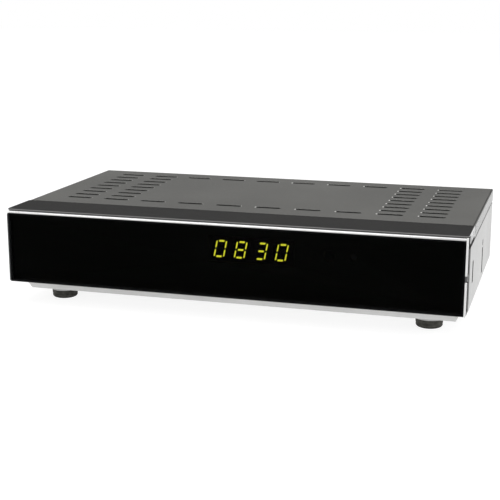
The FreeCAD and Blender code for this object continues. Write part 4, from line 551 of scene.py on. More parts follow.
# ------------------------------------------------------------------ modelling
class Piece:
    """One mesh that is shaped in edit mode and then finished."""

    def __init__(self, blender_object: bpy.types.Object) -> None:
        """Takes over a mesh object."""
        self.object = blender_object

    @classmethod
    def block(cls, name: str, low: Sequence[float], high: Sequence[float]) -> "Piece":
        """Starts from a cube between two corners.

        Args:
            name: The piece's name.
            low: Its lowest corner.
            high: Its highest corner.

        Returns:
            The piece.
        """
        clear_selection()
        middle = [(a + b) / 2 for a, b in zip(low, high)]
        sides = [b - a for a, b in zip(low, high)]
        bpy.ops.mesh.primitive_cube_add(size=1, location=middle, scale=sides)
        return cls(bpy.context.object).named(name)

    @classmethod
    def turned(cls, name: str, start: Place, axis: Axis, rings: Sequence[Ring],
               sides: int = 40, hollow: bool = False) -> "Piece":
        """Starts from a disc and extrudes it ring by ring, as on a lathe.

        Args:
            name: The piece's name.
            start: The middle of its first end.
            axis: Where it grows.
            rings: How far along each ring lies and its radius.
            sides: How many corners each ring has.
            hollow: Whether the last ring joins the first one, as in a tube, instead of two end faces.

        Returns:
            The piece.
        """
        clear_selection()
        heading = Vector(axis.value)
        turn = Vector((0.0, 0.0, 1.0)).rotation_difference(heading).to_euler()
        origin = Vector(start)
        (reach, radius), *rest = rings
        fill = "NOTHING" if hollow else "NGON"
        bpy.ops.mesh.primitive_circle_add(vertices=sides, radius=radius, fill_type=fill,
                                          location=origin + heading * reach, rotation=turn)
        piece = cls(bpy.context.object).named(name)
        bpy.ops.object.mode_set(mode="EDIT")
        bpy.ops.mesh.select_mode(type="VERT")
        bpy.ops.mesh.select_all(action="SELECT")
        for next_reach, next_radius in rest:
            step = heading * (next_reach - reach)
            bpy.ops.mesh.extrude_region_move(TRANSFORM_OT_translate={"value": step})
            factor = next_radius / radius
            bpy.ops.transform.resize(value=(factor,) * 3, center_override=origin + heading * next_reach)
            reach, radius = next_reach, next_radius
        if hollow:
            bpy.ops.mesh.select_all(action="DESELECT")
            bpy.ops.mesh.select_non_manifold()
            bpy.ops.mesh.bridge_edge_loops()
        bpy.ops.mesh.select_all(action="SELECT")
        bpy.ops.mesh.normals_make_consistent(inside=False)
        bpy.ops.object.mode_set(mode="OBJECT")
        return piece

    @classmethod
    def from_node(cls, node: str) -> "Piece":
        """Starts from a copy of a solid's mesh, with its loose triangles joined.

        Args:
            node: The solid's name.

        Returns:
            The piece, which stands for the solid.
        """
        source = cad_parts[node]
        copy = bpy.data.objects.new(f"{node}_finished", source.data.copy())
        bpy.context.scene.collection.objects.link(copy)
        piece = cls(copy)
        piece.activate()
        if copy.data.has_custom_normals:
            bpy.ops.mesh.customdata_custom_splitnormals_clear()
        bpy.ops.object.mode_set(mode="EDIT")
        bpy.ops.mesh.select_all(action="SELECT")
        bpy.ops.mesh.remove_doubles(threshold=0.000002)
        bpy.ops.mesh.dissolve_limited(angle_limit=math.radians(0.4))
        bpy.ops.object.mode_set(mode="OBJECT")
        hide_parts(node)
        return piece

    def named(self, name: str) -> "Piece":
        """Names the piece and puts its place into its mesh.

        Args:
            name: The piece's name.

        Returns:
            The piece.
        """
        self.object.name = name
        self.object.data.name = name
        bpy.ops.object.transform_apply(location=True, rotation=True, scale=True)
        return self

    def activate(self) -> None:
        """Makes this the only selected object."""
        clear_selection()
        self.object.select_set(True)
        bpy.context.view_layer.objects.active = self.object

    def pick_faces(self, test: FaceTest) -> None:
        """Goes to edit mode with the faces selected that pass a test.

        Args:
            test: Takes a face's middle and normal.
        """
        self.activate()
        bpy.ops.object.mode_set(mode="EDIT")
        bpy.ops.mesh.select_mode(type="FACE")
        bpy.ops.mesh.select_all(action="DESELECT")
        cage = bmesh.from_edit_mesh(self.object.data)
        for face in cage.faces:
            face.select_set(test(face.calc_center_median(), face.normal))
        bmesh.update_edit_mesh(self.object.data)

    def leave_edit(self) -> "Piece":
        """Goes back to object mode."""
        bpy.ops.object.mode_set(mode="OBJECT")
        return self

    def inset(self, test: FaceTest, margin: float, depth: float) -> "Piece":
        """Insets chosen faces and moves the inner part along its normal.

        Args:
            test: Takes a face's middle and normal.
            margin: How wide the border is.
            depth: How far the inner part rises, or sinks if it is below 0.

        Returns:
            The piece.
        """
        self.pick_faces(test)
        bpy.ops.mesh.inset(thickness=margin, depth=0.0)
        if depth:
            bpy.ops.mesh.inset(thickness=0.0, depth=depth)
        return self.leave_edit()

    def pushed(self, test: FaceTest, step: Sequence[float],
               scale: Place = (1.0, 1.0, 1.0)) -> "Piece":
        """Moves chosen faces, and scales them about their middle.

        Args:
            test: Takes a face's middle and normal.
            step: How far they move.
            scale: The factor along each axis.

        Returns:
            The piece.
        """
        self.pick_faces(test)
        bpy.ops.transform.translate(value=step)
        bpy.ops.transform.resize(value=scale)
        return self.leave_edit()

    def squeezed(self, test: Callable[[Vector], bool], centre: Place, scale: Place) -> "Piece":
        """Scales chosen corners about a point, as for a groove or a thread.

        Args:
            test: Takes a corner's place.
            centre: The point that stays.
            scale: The factor along each axis.

        Returns:
            The piece.
        """
        self.activate()
        bpy.ops.object.mode_set(mode="EDIT")
        bpy.ops.mesh.select_mode(type="VERT")
        bpy.ops.mesh.select_all(action="DESELECT")
        cage = bmesh.from_edit_mesh(self.object.data)
        for corner in cage.verts:
            corner.select_set(test(corner.co))
        cage.select_flush(True)
        bmesh.update_edit_mesh(self.object.data)
        bpy.ops.transform.resize(value=scale, center_override=centre)
        return self.leave_edit()

    def tilted(self, angle: float, axis: str, centre: Place) -> "Piece":
        """Turns the whole mesh about an axis through a point.

        Args:
            angle: The angle in degrees, counted against the clock when the axis points at the eye.
            axis: The axis's name.
            centre: The point that stays.

        Returns:
            The piece.
        """
        self.activate()
        bpy.ops.object.mode_set(mode="EDIT")
        bpy.ops.mesh.select_all(action="SELECT")
        bpy.ops.transform.rotate(value=-math.radians(angle), orient_axis=axis, center_override=centre)
        return self.leave_edit()

    def cuts(self, axis: Axis, places: Sequence[float]) -> "Piece":
        """Bisects the mesh at planes square to an axis.

        Args:
            axis: The planes' normal.
            places: Where along that axis they lie.

        Returns:
            The piece.
        """
        self.activate()
        bpy.ops.object.mode_set(mode="EDIT")
        for place in places:
            bpy.ops.mesh.select_all(action="SELECT")
            normal = Vector(axis.value)
            bpy.ops.mesh.bisect(plane_co=normal * place, plane_no=normal)
        return self.leave_edit()

    def bevelled(self, width: float, segments: int = 2, limit: float = 35.0) -> "Piece":
        """Rounds the sharp edges.

        Args:
            width: How far the rounding reaches.
            segments: How many faces make it.
            limit: The angle from which an edge counts as sharp, in degrees.

        Returns:
            The piece.
        """
        self.activate()
        bevel = self.object.modifiers.new("edge_rounding", "BEVEL")
        bevel.width = width
        bevel.segments = segments
        bevel.limit_method = "ANGLE"
        bevel.angle_limit = math.radians(limit)
        bevel.use_clamp_overlap = True
        bevel.miter_outer = "MITER_ARC"
        bpy.ops.object.modifier_apply(modifier=bevel.name)
        return self

    def smooth(self, angle: float = 40.0) -> "Piece":
        """Shades the shallow edges smooth and weights the normals by face size.

        Args:
            angle: Up to which angle an edge is shallow, in degrees.

        Returns:
            The piece.
        """
        self.activate()
        bpy.ops.object.shade_smooth_by_angle(angle=math.radians(angle))
        weights = self.object.modifiers.new("face_weights", "WEIGHTED_NORMAL")
        weights.keep_sharp = True
        bpy.ops.object.modifier_apply(modifier=weights.name)
        return self

    def copies(self, name: str, shifts: Sequence[Sequence[float]]) -> "Piece":
        """Replaces the piece by moved copies of itself in one mesh.

        Args:
            name: The joined piece's name.
            shifts: How far each copy lies from the first one.

        Returns:
            The joined piece.
        """
        made = []
        for shift in shifts:
            copy = self.object.copy()
            copy.data = self.object.data.copy()
            bpy.context.scene.collection.objects.link(copy)
            copy.location = shift
            made.append(copy)
        bpy.data.objects.remove(self.object)
        clear_selection()
        for copy in made:
            copy.select_set(True)
        bpy.context.view_layer.objects.active = made[0]
        bpy.ops.object.transform_apply(location=True, rotation=True, scale=True)
        if len(made) > 1:
            bpy.ops.object.join()
        self.object = bpy.context.view_layer.objects.active
        return self.named(name)

    def edged(self, finish: Surface, test: FaceTest) -> "Piece":
        """Gives chosen faces a finish of their own, after the piece has been dressed.

        Args:
            finish: Their finish.
            test: Takes a face's middle and normal.

        Returns:
            The piece.
        """
        self.object.data.materials.append(finish.material())
        self.pick_faces(test)
        self.object.active_material_index = len(self.object.data.materials) - 1
        bpy.ops.object.material_slot_assign()
        return self.leave_edit()

    def dress(self, finish: Surface, slot: str, body: str = CASE) -> "Piece":
        """Gives the piece its finish and the body it moves with.

        Args:
            finish: Its finish.
            slot: Not used.
            body: The body that it rides on.

        Returns:
            The piece.
        """
        self.object.data.materials.clear()
        self.object.data.materials.append(finish.material())
        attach(self.object, body)
        LOG.info("made %s", self.object.name)
        return self


def clear_selection() -> None:
    """Deselects everything in object mode."""
    active = bpy.context.view_layer.objects.active
    if active is not None and active.mode != "OBJECT":
        bpy.ops.object.mode_set(mode="OBJECT")
    bpy.ops.object.select_all(action="DESELECT")


def paint_nodes(nodes: Sequence[tuple[str, Surface]]) -> None:
    """Gives carried-over solids their finishes.

    Args:
        nodes: Each solid's name and finish.
    """
    for node, finish in nodes:
        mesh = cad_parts[node].data
        mesh.materials.clear()
        mesh.materials.append(finish.material())
        LOG.info("painted %s", node)


def round_nodes(nodes: Sequence[tuple[str, Surface, str]], width: float, segments: int = 2) -> None:
    """Rounds, smooths and dresses solids that stay with the case.

    Args:
        nodes: Each solid's name, finish and slot.
        width: How far the rounding reaches.
        segments: How many faces make it.
    """
    for node, finish, slot in nodes:
        Piece.from_node(node).bevelled(width, segments).smooth().dress(finish, slot)


# ------------------------------------------------------------------ sub-assemblies
@dataclass
class Lid:
    """The folded lid with its slots and screws.

    Attributes:
        edge: Radius of the sheet's cut edges.
        sheet_reach: How far in from its outside a face still belongs to the sheet.
        rear_reach: How far in from the rear edge a face still belongs to that edge.
        screw_edge: Rounding of the screws.
        slot_side: How far the slots stay from the lid's sides.
        slot_end: How far they stay from its front and rear edges.
    """

    edge: float = 0.12 * MM
    sheet_reach: float = 1.2 * MM
    rear_reach: float = 0.3 * MM
    screw_edge: float = 0.15 * MM
    slot_side: float = 15.0 * MM
    slot_end: float = 4.0 * MM

    def build(self) -> None:
        """Models and dresses the lid."""
        lid = Piece.from_node("top_cover").bevelled(self.edge, 2, 40.0).smooth()
        lid.dress(LID_PAINT, "lid_paint")
        low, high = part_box("top_cover")

        def in_slot(middle: Vector) -> bool:
            """Whether a face lies in the sheet's thickness, away from the lid's edges.

            Args:
                middle: The face's middle.

            Returns:
                True inside a slot.
            """
            beside = abs(middle.x) < high.x - self.slot_side
            between = low.y + self.slot_end < middle.y < high.y - self.slot_end
            return beside and between and middle.z > high.z - self.sheet_reach

        def on_rim(middle: Vector, normal: Vector) -> bool:
            """Whether a face carries a slot's painted highlight: the rear edge, or the end nearer the lid's
            middle.

            Args:
                middle: The face's middle.
                normal: Its normal.

            Returns:
                True where the highlight is painted.
            """
            rear = 0.76 < normal.z < 0.99 and normal.y < -0.05
            end = 0.3 < normal.z < 0.99 and abs(normal.x) > 0.5 and normal.x * middle.x > 0.0
            return in_slot(middle) and (rear or end)

        def on_fold(middle: Vector, normal: Vector) -> bool:
            """Whether a face belongs to the start of a side fold or to the rear edge, which get painted
            shade.
            """
            folded = abs(middle.x) > high.x - self.sheet_reach and 0.75 < normal.z < 0.995
            return folded or (middle.y > high.y - self.rear_reach and 0.1 < normal.z < 0.99)

        lid.edged(SHADED_CUT, lambda middle, normal: in_slot(middle) and normal.z < 0.99)
        # Painted highlight: a light finish on the slots' rear edges and inner ends.
        lid.edged(SLOT_RIM_HIGHLIGHT, on_rim)
        # Painted shade: a darker paint along the side folds and the rear edge.
        lid.edged(LID_EDGE_SHADE, on_fold)
        round_nodes((("cover_screws", SCREW_ZINC, "zinc_screw"),), self.screw_edge)


@dataclass
class FrontPanel:
    """The window, the silver trim, the dark frame and the standby button.

    Attributes:
        trim_edge: Rounding of the trim's edges.
        cheek_front: How wide the painted highlight on a cheek's front edge is.
        cheek_rear: How wide the painted shade on a cheek's rear part is.
        frame_edge: Rounding of the frame's edges.
        window_edge: Polish of the window's edges.
        print_width: How far the black border on the window's back reaches in.
        nose_height: How far below its top the band's rounded nose reaches.
        nose_depth: How far behind its front edge it reaches.
        end_height: How far down the band's silvered ends reach.
        end_skin: How far in from the side a face still lies on the band's end.
        button_edge: Rounding of the button.
        button_rim: How wide the rim round the button's sunk face is.
        button_dish: How deep that face lies.
    """

    trim_edge: float = 0.25 * MM
    cheek_front: float = 1.1 * MM
    cheek_rear: float = 5.4 * MM
    frame_edge: float = 0.2 * MM
    window_edge: float = 0.08 * MM
    print_width: float = 3.2 * MM
    nose_height: float = 0.85 * MM
    nose_depth: float = 1.2 * MM
    end_height: float = 6.0 * MM
    end_skin: float = 0.1 * MM
    button_edge: float = 0.3 * MM
    button_rim: float = 0.3 * MM
    button_dish: float = 0.2 * MM

    def build(self) -> None:
        """Models and dresses the front."""
        self.build_trim()
        frame_piece = Piece.from_node("front_frame").bevelled(self.frame_edge, 2, 40.0).smooth()
        frame_piece.dress(DARK_MOULDING, "dark_abs")
        low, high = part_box("front_frame")

        def on_nose(middle: Vector, normal: Vector) -> bool:
            """Whether a face lies on the rounded front edge of the band, where a highlight is painted."""
            in_corner = middle.z > high.z - self.nose_height and middle.y < low.y + self.nose_depth
            return in_corner and normal.y < -0.35

        # Painted highlight: a lighter grey finish on the band's rounded nose.
        frame_piece.edged(NOSE_HIGHLIGHT, on_nose)
        outer = high.x - self.end_skin
        end_low = high.z - self.end_height
        frame_piece.cuts(Axis.UP, (end_low,))
        frame_piece.edged(SILVER, lambda middle, normal: abs(middle.x) > outer and abs(normal.x) > 0.9
                          and middle.z > end_low)
        self.build_window()
        paint_nodes((("window_tape", MASK),))
        self.build_button()

    def build_trim(self) -> None:
        """Rounds the trim, paints a highlight on the front edges of its cheeks and paints shade on what lies
        behind them.
        """
        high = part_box("bezel_trim")[1]
        trim = Piece.from_node("bezel_trim").bevelled(self.trim_edge, 3).smooth()
        trim.dress(SILVER, "silver_trim")
        border = high.y - self.cheek_rear
        inner = high.x - self.cheek_front
        trim.cuts(Axis.BACK, (border,))
        trim.cuts(Axis.RIGHT, (-inner, inner))
        # Painted highlight: a near-white finish on the cheeks' front edges.
        trim.edged(CHEEK_HIGHLIGHT, lambda middle, normal: abs(middle.x) > inner and middle.y < border)
        # Painted shade: the dark moulding finish on the cheeks' rear parts stands for the shadow gap behind
        # them.
        trim.edged(DARK_MOULDING, lambda middle, normal: middle.y > border)

    def build_window(self) -> None:
        """Polishes the window's edges and prints a black border on its back."""
        low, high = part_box("front_window")
        window = Piece.from_node("front_window").bevelled(self.window_edge, 2, 30.0)
        back = high.y - NEAR
        window.inset(lambda middle, normal: normal.y > FLAT and middle.y > back, self.print_width, 0.0)

        def in_border(middle: Vector, normal: Vector) -> bool:
            """Whether a face of the back lies outside the clear part.

            Args:
                middle: The face's middle.
                normal: Its normal.

            Returns:
                True in the printed border.
            """
            across = low.x + self.print_width < middle.x < high.x - self.print_width
            upward = low.z + self.print_width < middle.z < high.z - self.print_width
            return normal.y > 0.99 and middle.y > back and not (across and upward)

        window.smooth().dress(WINDOW, "smoked_acrylic").edged(MASK, in_border)

    def build_button(self) -> None:
        """Rounds the button and sinks its outer face a little."""
        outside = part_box("standby_button")[1].x - NEAR
        button = Piece.from_node("standby_button").bevelled(self.button_edge, 3)
        button.inset(lambda middle, normal: normal.x > FLAT and middle.x > outside,
                     self.button_rim, -self.button_dish)
        button.smooth().dress(BUTTON_GREY, "button_grey", BUTTON)


@dataclass
class Display:
    """The lit digits with their module, board, eye and lamp.

    Attributes:
        pin_pitch: How far the module's pins stand apart.
        pin_count: How many stand in each row.
        row_inset: How far the rows lie inside the module's outline.
        joint_rings: How high each ring of a solder joint lies and its radius.
        joint_foot: How deep the joints start in the board.
        lens_edge: Rounding of the eye and the lamp.
    """

    pin_pitch: float = 2.54 * MM
    pin_count: int = 12
    row_inset: float = 1.6 * MM
    joint_rings: tuple[Ring, ...] = (
        (0.0, 0.9 * MM), (0.35 * MM, 0.75 * MM), (0.7 * MM, 0.5 * MM), (1.3 * MM, 0.35 * MM))
    joint_foot: float = 0.1 * MM
    lens_edge: float = 0.35 * MM

    def build(self) -> None:
        """Models and dresses the display's pieces."""
        paint_nodes((
            ("display_digits", DIGIT_LIGHT),
            ("display_segments_dark", SEGMENT_OFF),
            ("display_module", MASK),
            ("display_board", BOARD_BROWN),
            ("display_screws", SCREW_ZINC),
            ("button_switch", BLACK_PLASTIC),
        ))
        round_nodes((
            ("infrared_receiver", BLACK_PLASTIC, "black_plastic"),
            ("status_led", WHITE_PLASTIC, "insulator_white"),
        ), self.lens_edge, 3)
        self.build_pins()

    def build_pins(self) -> None:
        """Solder joints of the module on the back of the display board."""
        low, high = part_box("display_module")
        board_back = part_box("display_board")[1].y
        start = ((low.x + high.x) / 2, board_back - self.joint_foot, low.z + self.row_inset)
        joint = Piece.turned("display_joints", start, Axis.BACK, self.joint_rings, 12)
        span = (self.pin_count - 1) / 2
        rise = high.z - low.z - 2 * self.row_inset
        columns = [(i - span) * self.pin_pitch for i in range(self.pin_count)]
        shifts = [(x, 0.0, z) for x in columns for z in (0.0, rise)]
        joint.copies("display_joints", shifts).smooth().dress(SOLDER, "tin_plate")


@dataclass
class Case:
    """The zinc-plated tray, the rear sheet and the rubber feet.

    Attributes:
        edge: Radius of the sheet's cut edges.
        wall: How far from the outer side a face still counts as the side wall's.
        vent_front: How far the vents stay from the tray's front and rear edges.
        vent_height: How far they stay from its top and from the pan's underside.
        pan_height: How far up the drawn pan's front face, which gets painted light, reaches.
        screw_edge: Rounding of the screws.
        foot_edge: Rounding of the feet's other edges.
        foot_dome: How far the foot narrows at heights near the ground.
        groove_height: Where the groove round each foot lies.
        groove_half: Half of its width.
        groove_scale: How far the groove narrows the foot.
        rim_shade_height: How far up the painted shade on the foot's bottom rim reaches.
        collar: How far the collar round a foot's top stands out.
        collar_drop: How far the collar reaches down.
        collar_lip: How far its lower rim stands out.
        collar_gap: How far it stays off the foot.
        collar_sink: How far below the foot's top it starts.
        collar_edge: Rounding of its edges.
    """

    edge: float = 0.15 * MM
    wall: float = 0.9 * MM
    vent_front: float = 8.0 * MM
    vent_height: float = 9.0 * MM
    pan_height: float = 8.0 * MM
    screw_edge: float = 0.12 * MM
    foot_edge: float = 0.15 * MM
    foot_dome: tuple[Ring, ...] = ((0.0, 0.84), (0.3 * MM, 0.93), (0.8 * MM, 0.985))
    groove_height: float = 2.1 * MM
    groove_half: float = 0.45 * MM
    groove_scale: float = 0.955
    rim_shade_height: float = 0.85 * MM
    collar: float = 0.9 * MM
    collar_drop: float = 2.2 * MM
    collar_lip: float = 0.25 * MM
    collar_gap: float = 0.03 * MM
    collar_sink: float = 0.02 * MM
    collar_edge: float = 0.12 * MM

    def build(self) -> None:
        """Models and dresses the case."""
        tray = Piece.from_node("chassis").bevelled(self.edge, 2, 40.0).smooth().dress(ZINC, "zinc_steel")
        low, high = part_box("chassis")

        def in_vent(middle: Vector, normal: Vector) -> bool:
            """Whether a face is the inside of a vent or of the round hole in a side wall.

            Args:
                middle: The face's middle.
                normal: Its normal.

            Returns:
                True in a vent or hole.
            """
            in_wall = abs(middle.x) > high.x - self.wall and abs(normal.x) < 0.3
            inner = low.y + self.vent_front < middle.y < high.y - self.vent_front
            return in_wall and inner and low.z + self.vent_height < middle.z < high.z - self.vent_height

        tray.edged(SHADED_CUT, in_vent)
        pan_top = low.z + self.pan_height
        # Painted light: a lighter copy of the zinc on the front faces of the drawn pan.
        tray.edged(PAN_FRONT_LIGHT, lambda middle, normal: normal.y < -0.3 and middle.z < pan_top)
        Piece.from_node("rear_panel").bevelled(self.edge, 2, 40.0).smooth().dress(ZINC, "zinc_steel")
        round_nodes([(node, SCREW_ZINC, "zinc_screw") for node in
                     ("rear_panel_screws", "frame_screws", "foot_screws")], self.screw_edge)
        for foot in ("foot_front_left", "foot_front_right", "foot_rear_left", "foot_rear_right"):
            self.build_foot(foot)

    def build_foot(self, foot: str) -> None:
        """Rounds and grooves a foot and sets a collar of drawn sheet round its top.

        Args:
            foot: The foot's node.
        """
        low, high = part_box(foot)
        middle = ((low.x + high.x) / 2, (low.y + high.y) / 2, 0.0)
        radius = (high.x - low.x) / 2
        piece = Piece.from_node(foot)
        places = [self.groove_height + step * self.groove_half for step in (-1, 0, 1)]
        piece.cuts(Axis.UP, sorted(places + [height for height, _ in self.foot_dome if height > 0.0]))

        def in_groove(corner: Vector) -> bool:
            """Whether a corner lies on the outside at the groove's height."""
            outside = math.hypot(corner.x - middle[0], corner.y - middle[1]) > radius * 0.85
            return outside and abs(corner.z - self.groove_height) < NEAR

        piece.squeezed(in_groove, middle, (self.groove_scale, self.groove_scale, 1.0))
        for height, scale in self.foot_dome:
            piece.squeezed(lambda corner: abs(corner.z - height) < NEAR, middle, (scale, scale, 1.0))
        piece.bevelled(self.foot_edge, 2, 50.0).smooth().dress(RUBBER, "rubber_black")
        # Painted shade: a near-black finish round the bottom of each foot.
        piece.edged(FOOT_RIM_SHADE, lambda centre, normal: centre.z < self.rim_shade_height)
        inner = radius + self.collar_gap
        rings = (
            (0.0, radius + self.collar),
            (self.collar_drop * 0.6, radius + self.collar * 0.8),
            (self.collar_drop, radius + self.collar_lip),
            (self.collar_drop, inner),
            (0.0, inner),
        )
        start = (middle[0], middle[1], high.z - self.collar_sink)
        collar = Piece.turned(f"{foot}_collar", start, Axis.DOWN, rings, 48, hollow=True)
        collar.bevelled(self.collar_edge).smooth().dress(ZINC, "zinc_steel")


@dataclass
class RearSockets:
    """The sockets along the main board's rear edge.

    Attributes:
        edge: Rounding of the sockets' edges.
        can_rim: How wide the rim round the tuner's cover is.
        can_sink: How deep the cover lies below it.
        thread_pitch: How far the thread's ridges lie apart.
        thread_root: How far the thread's grooves narrow the socket.
        thread_start: How far behind the nuts the thread starts.
        thread_end: How far it stays from the socket's mouth.
        wire_pitch: How far the network socket's wires lie apart.
        wire_count: How many there are.
        wire_half: Half of their width.
        wire_span: How far from the socket's inner end the wires start and end.
        wire_drop: How far their free ends hang down.
        roof_sink: How far below the socket's top the roof over its mouth lies.
        lamp_shift: How far the network lamps stand from the socket's middle.
        lamp_half: Half of their width.
        lamp_rise: How far above the roof the lamps start and end.
        blade: Half of the thickness of a contact blade.
        blade_front: How far inside a socket's mouth its gilt strips start.
        blade_end: How far in they reach.
        gilt: How far the strips stand out of the blade.
        gilt_root: How deep they lie in it.
        scart_pitch: How far the audio-video contacts stand apart.
        scart_rise: How far each of their two rows lies from the middle.
        scart_half: Half of a contact's width and half of its height.
        scart_span: How far inside the mouth the contacts start and end.
        scart_tip: How far their ends narrow along each axis.
    """

    edge: float = 0.12 * MM
    can_rim: float = 1.6 * MM
    can_sink: float = 0.25 * MM
    thread_pitch: float = 0.8 * MM
    thread_root: float = 0.93
    thread_start: float = 1.2 * MM
    thread_end: float = 0.9 * MM
    wire_pitch: float = 1.02 * MM
    wire_count: int = 8
    wire_half: float = 0.2 * MM
    wire_span: tuple[float, float] = (1.7 * MM, 9.0 * MM)
    wire_drop: float = 2.6 * MM
    roof_sink: float = 1.7 * MM
    lamp_shift: float = 5.6 * MM
    lamp_half: float = 1.4 * MM
    lamp_rise: tuple[float, float] = (0.35 * MM, 1.4 * MM)
    blade: float = 0.6 * MM
    blade_front: float = 1.4 * MM
    blade_end: float = 7.5 * MM
    gilt: float = 0.08 * MM
    gilt_root: float = 0.02 * MM
    scart_pitch: float = 3.9 * MM
    scart_rise: float = 1.6 * MM
    scart_half: tuple[float, float] = (0.55 * MM, 0.2 * MM)
    scart_span: tuple[float, float] = (1.2 * MM, 8.0 * MM)
    scart_tip: Place = (0.55, 1.0, 0.6)

    def build(self) -> None:
        """Models and dresses the sockets."""
        round_nodes((
            ("lnb_nuts", NICKEL, "nickel"),
            ("scart_shell", TIN, "tin_plate"),
            ("scart_insert", BLACK_PLASTIC, "black_plastic"),
            ("hdmi_socket", TIN, "tin_plate"),
            ("usb_socket", TIN, "tin_plate"),
            ("ethernet_socket", BLACK_PLASTIC, "black_plastic"),
            ("phono_barrels", NICKEL, "nickel"),
        ), self.edge)
        paint_nodes((
            ("lnb_insulators", WHITE_PLASTIC),
            ("phono_insulators", JACK_RINGS),
            ("phono_block", BLACK_PLASTIC),
        ))
        self.build_tuner()
        for socket in ("lnb_input_socket", "lnb_output_socket"):
            self.build_thread(socket)
        self.build_network_contacts()
        self.build_blade_contacts("hdmi_socket", 9, 1.15 * MM, 0.4 * MM)
        self.build_blade_contacts("usb_socket", 4, 2.2 * MM, 1.1 * MM)
        self.build_scart_contacts()

    def build_tuner(self) -> None:
        """Sinks the tuner's cover a little inside its rim."""
        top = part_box("tuner_can")[1].z - NEAR
        can = Piece.from_node("tuner_can").bevelled(self.edge)
        can.inset(lambda middle, normal: normal.z > FLAT and middle.z > top, self.can_rim, -self.can_sink)
        can.smooth().dress(TIN, "tin_plate")

    def build_thread(self, socket: str) -> None:
        """Cuts ridges and grooves into the outside of an aerial socket.

        Args:
            socket: The socket's node.
        """
        low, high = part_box(socket)
        centre = ((low.x + high.x) / 2, 0.0, (low.z + high.z) / 2)
        radius = (high.x - low.x) / 2
        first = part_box("lnb_nuts")[1].y + self.thread_start
        turns = int((high.y - self.thread_end - first) / self.thread_pitch)
        grooves = [first + self.thread_pitch * turn for turn in range(turns + 1)]
        ridges = [place + side * self.thread_pitch / 3 for place in grooves for side in (-1, 1)]
        piece = Piece.from_node(socket).cuts(Axis.BACK, sorted(grooves + ridges))

        def in_groove(corner: Vector) -> bool:
            """Whether a corner lies on the outside in one of the grooves."""
            outside = math.hypot(corner.x - centre[0], corner.z - centre[2]) > radius * 0.8
            return outside and any(abs(corner.y - place) < NEAR for place in grooves)

        piece.squeezed(in_groove, centre, (self.thread_root, 1.0, self.thread_root))
        piece.smooth(25.0).dress(NICKEL, "nickel")

    def build_network_contacts(self) -> None:
        """Eight sprung wires and two lamps in the network socket."""
        low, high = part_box("ethernet_socket")
        middle = (low.x + high.x) / 2
        roof = high.z - self.roof_sink
        first, last = self.wire_span
        wire = Piece.block("network_wires", (middle - self.wire_half, low.y + first, roof - 0.5 * MM),
                           (middle + self.wire_half, low.y + last, roof - 0.1 * MM))
        wire.pushed(lambda centre, normal: normal.y > 0.9, (0.0, 0.0, -self.wire_drop))
        span = (self.wire_count - 1) / 2
        shifts = [((i - span) * self.wire_pitch, 0.0, 0.0) for i in range(self.wire_count)]
        wire.bevelled(0.08 * MM, 2).copies("network_wires", shifts)
        wire.smooth().dress(GOLD, "brass_post")
        first, last = self.lamp_rise
        for name, side, finish in (("left", -1, LENS_GREEN), ("right", 1, LENS_AMBER)):
            place = middle + side * self.lamp_shift
            start = (place - self.lamp_half, high.y - 0.6 * MM, roof + first)
            end = (place + self.lamp_half, high.y + 0.12 * MM, roof + last)
            lens = Piece.block(f"network_lamp_{name}", start, end)
            lens.bevelled(0.1 * MM, 2).smooth().dress(finish, "insulator_white")

    def build_blade_contacts(self, socket: str, count: int, pitch: float, width: float) -> None:
        """Gilt strips on both faces of a socket's blade.

        Args:
            socket: The socket's node.
            count: How many strips lie side by side.
            pitch: How far apart they lie.
            width: How wide each is.
        """
        low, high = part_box(socket)
        centre = (low + high) / 2
        below = centre.z - self.blade
        start = (centre.x - width / 2, high.y - self.blade_end, below - self.gilt)
        end = (centre.x + width / 2, high.y - self.blade_front, below + self.gilt_root)
        strip = Piece.block(f"{socket}_contacts", start, end)
        strip.bevelled(0.03 * MM, 1)
        span = (count - 1) / 2
        above = 2 * self.blade + self.gilt - self.gilt_root
        shifts = [((i - span) * pitch, 0.0, rise) for i in range(count) for rise in (0.0, above)]
        strip.copies(f"{socket}_contacts", shifts).smooth().dress(GOLD, "brass_post")

    def build_scart_contacts(self) -> None:
        """A forked contact in each slit of the audio-video socket."""
        low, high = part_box("scart_shell")
        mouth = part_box("scart_insert")[1].y
        centre = (low + high) / 2
        half_x, half_z = self.scart_half
        front, rear = self.scart_span
        start = (centre.x - half_x, mouth - rear, centre.z - half_z)
        end = (centre.x + half_x, mouth - front, centre.z + half_z)
        blade = Piece.block("scart_contacts", start, end)
        blade.pushed(lambda middle, normal: normal.y > 0.9, (0.0, 0.0, 0.0), self.scart_tip)
        blade.bevelled(0.06 * MM, 2)
        shifts = [((i + side / 4) * self.scart_pitch, 0.0, side * self.scart_rise)
                  for side in (-1, 1) for i in range(-4, 5)]
        blade.copies("scart_contacts", shifts).smooth().dress(GOLD, "brass_post")


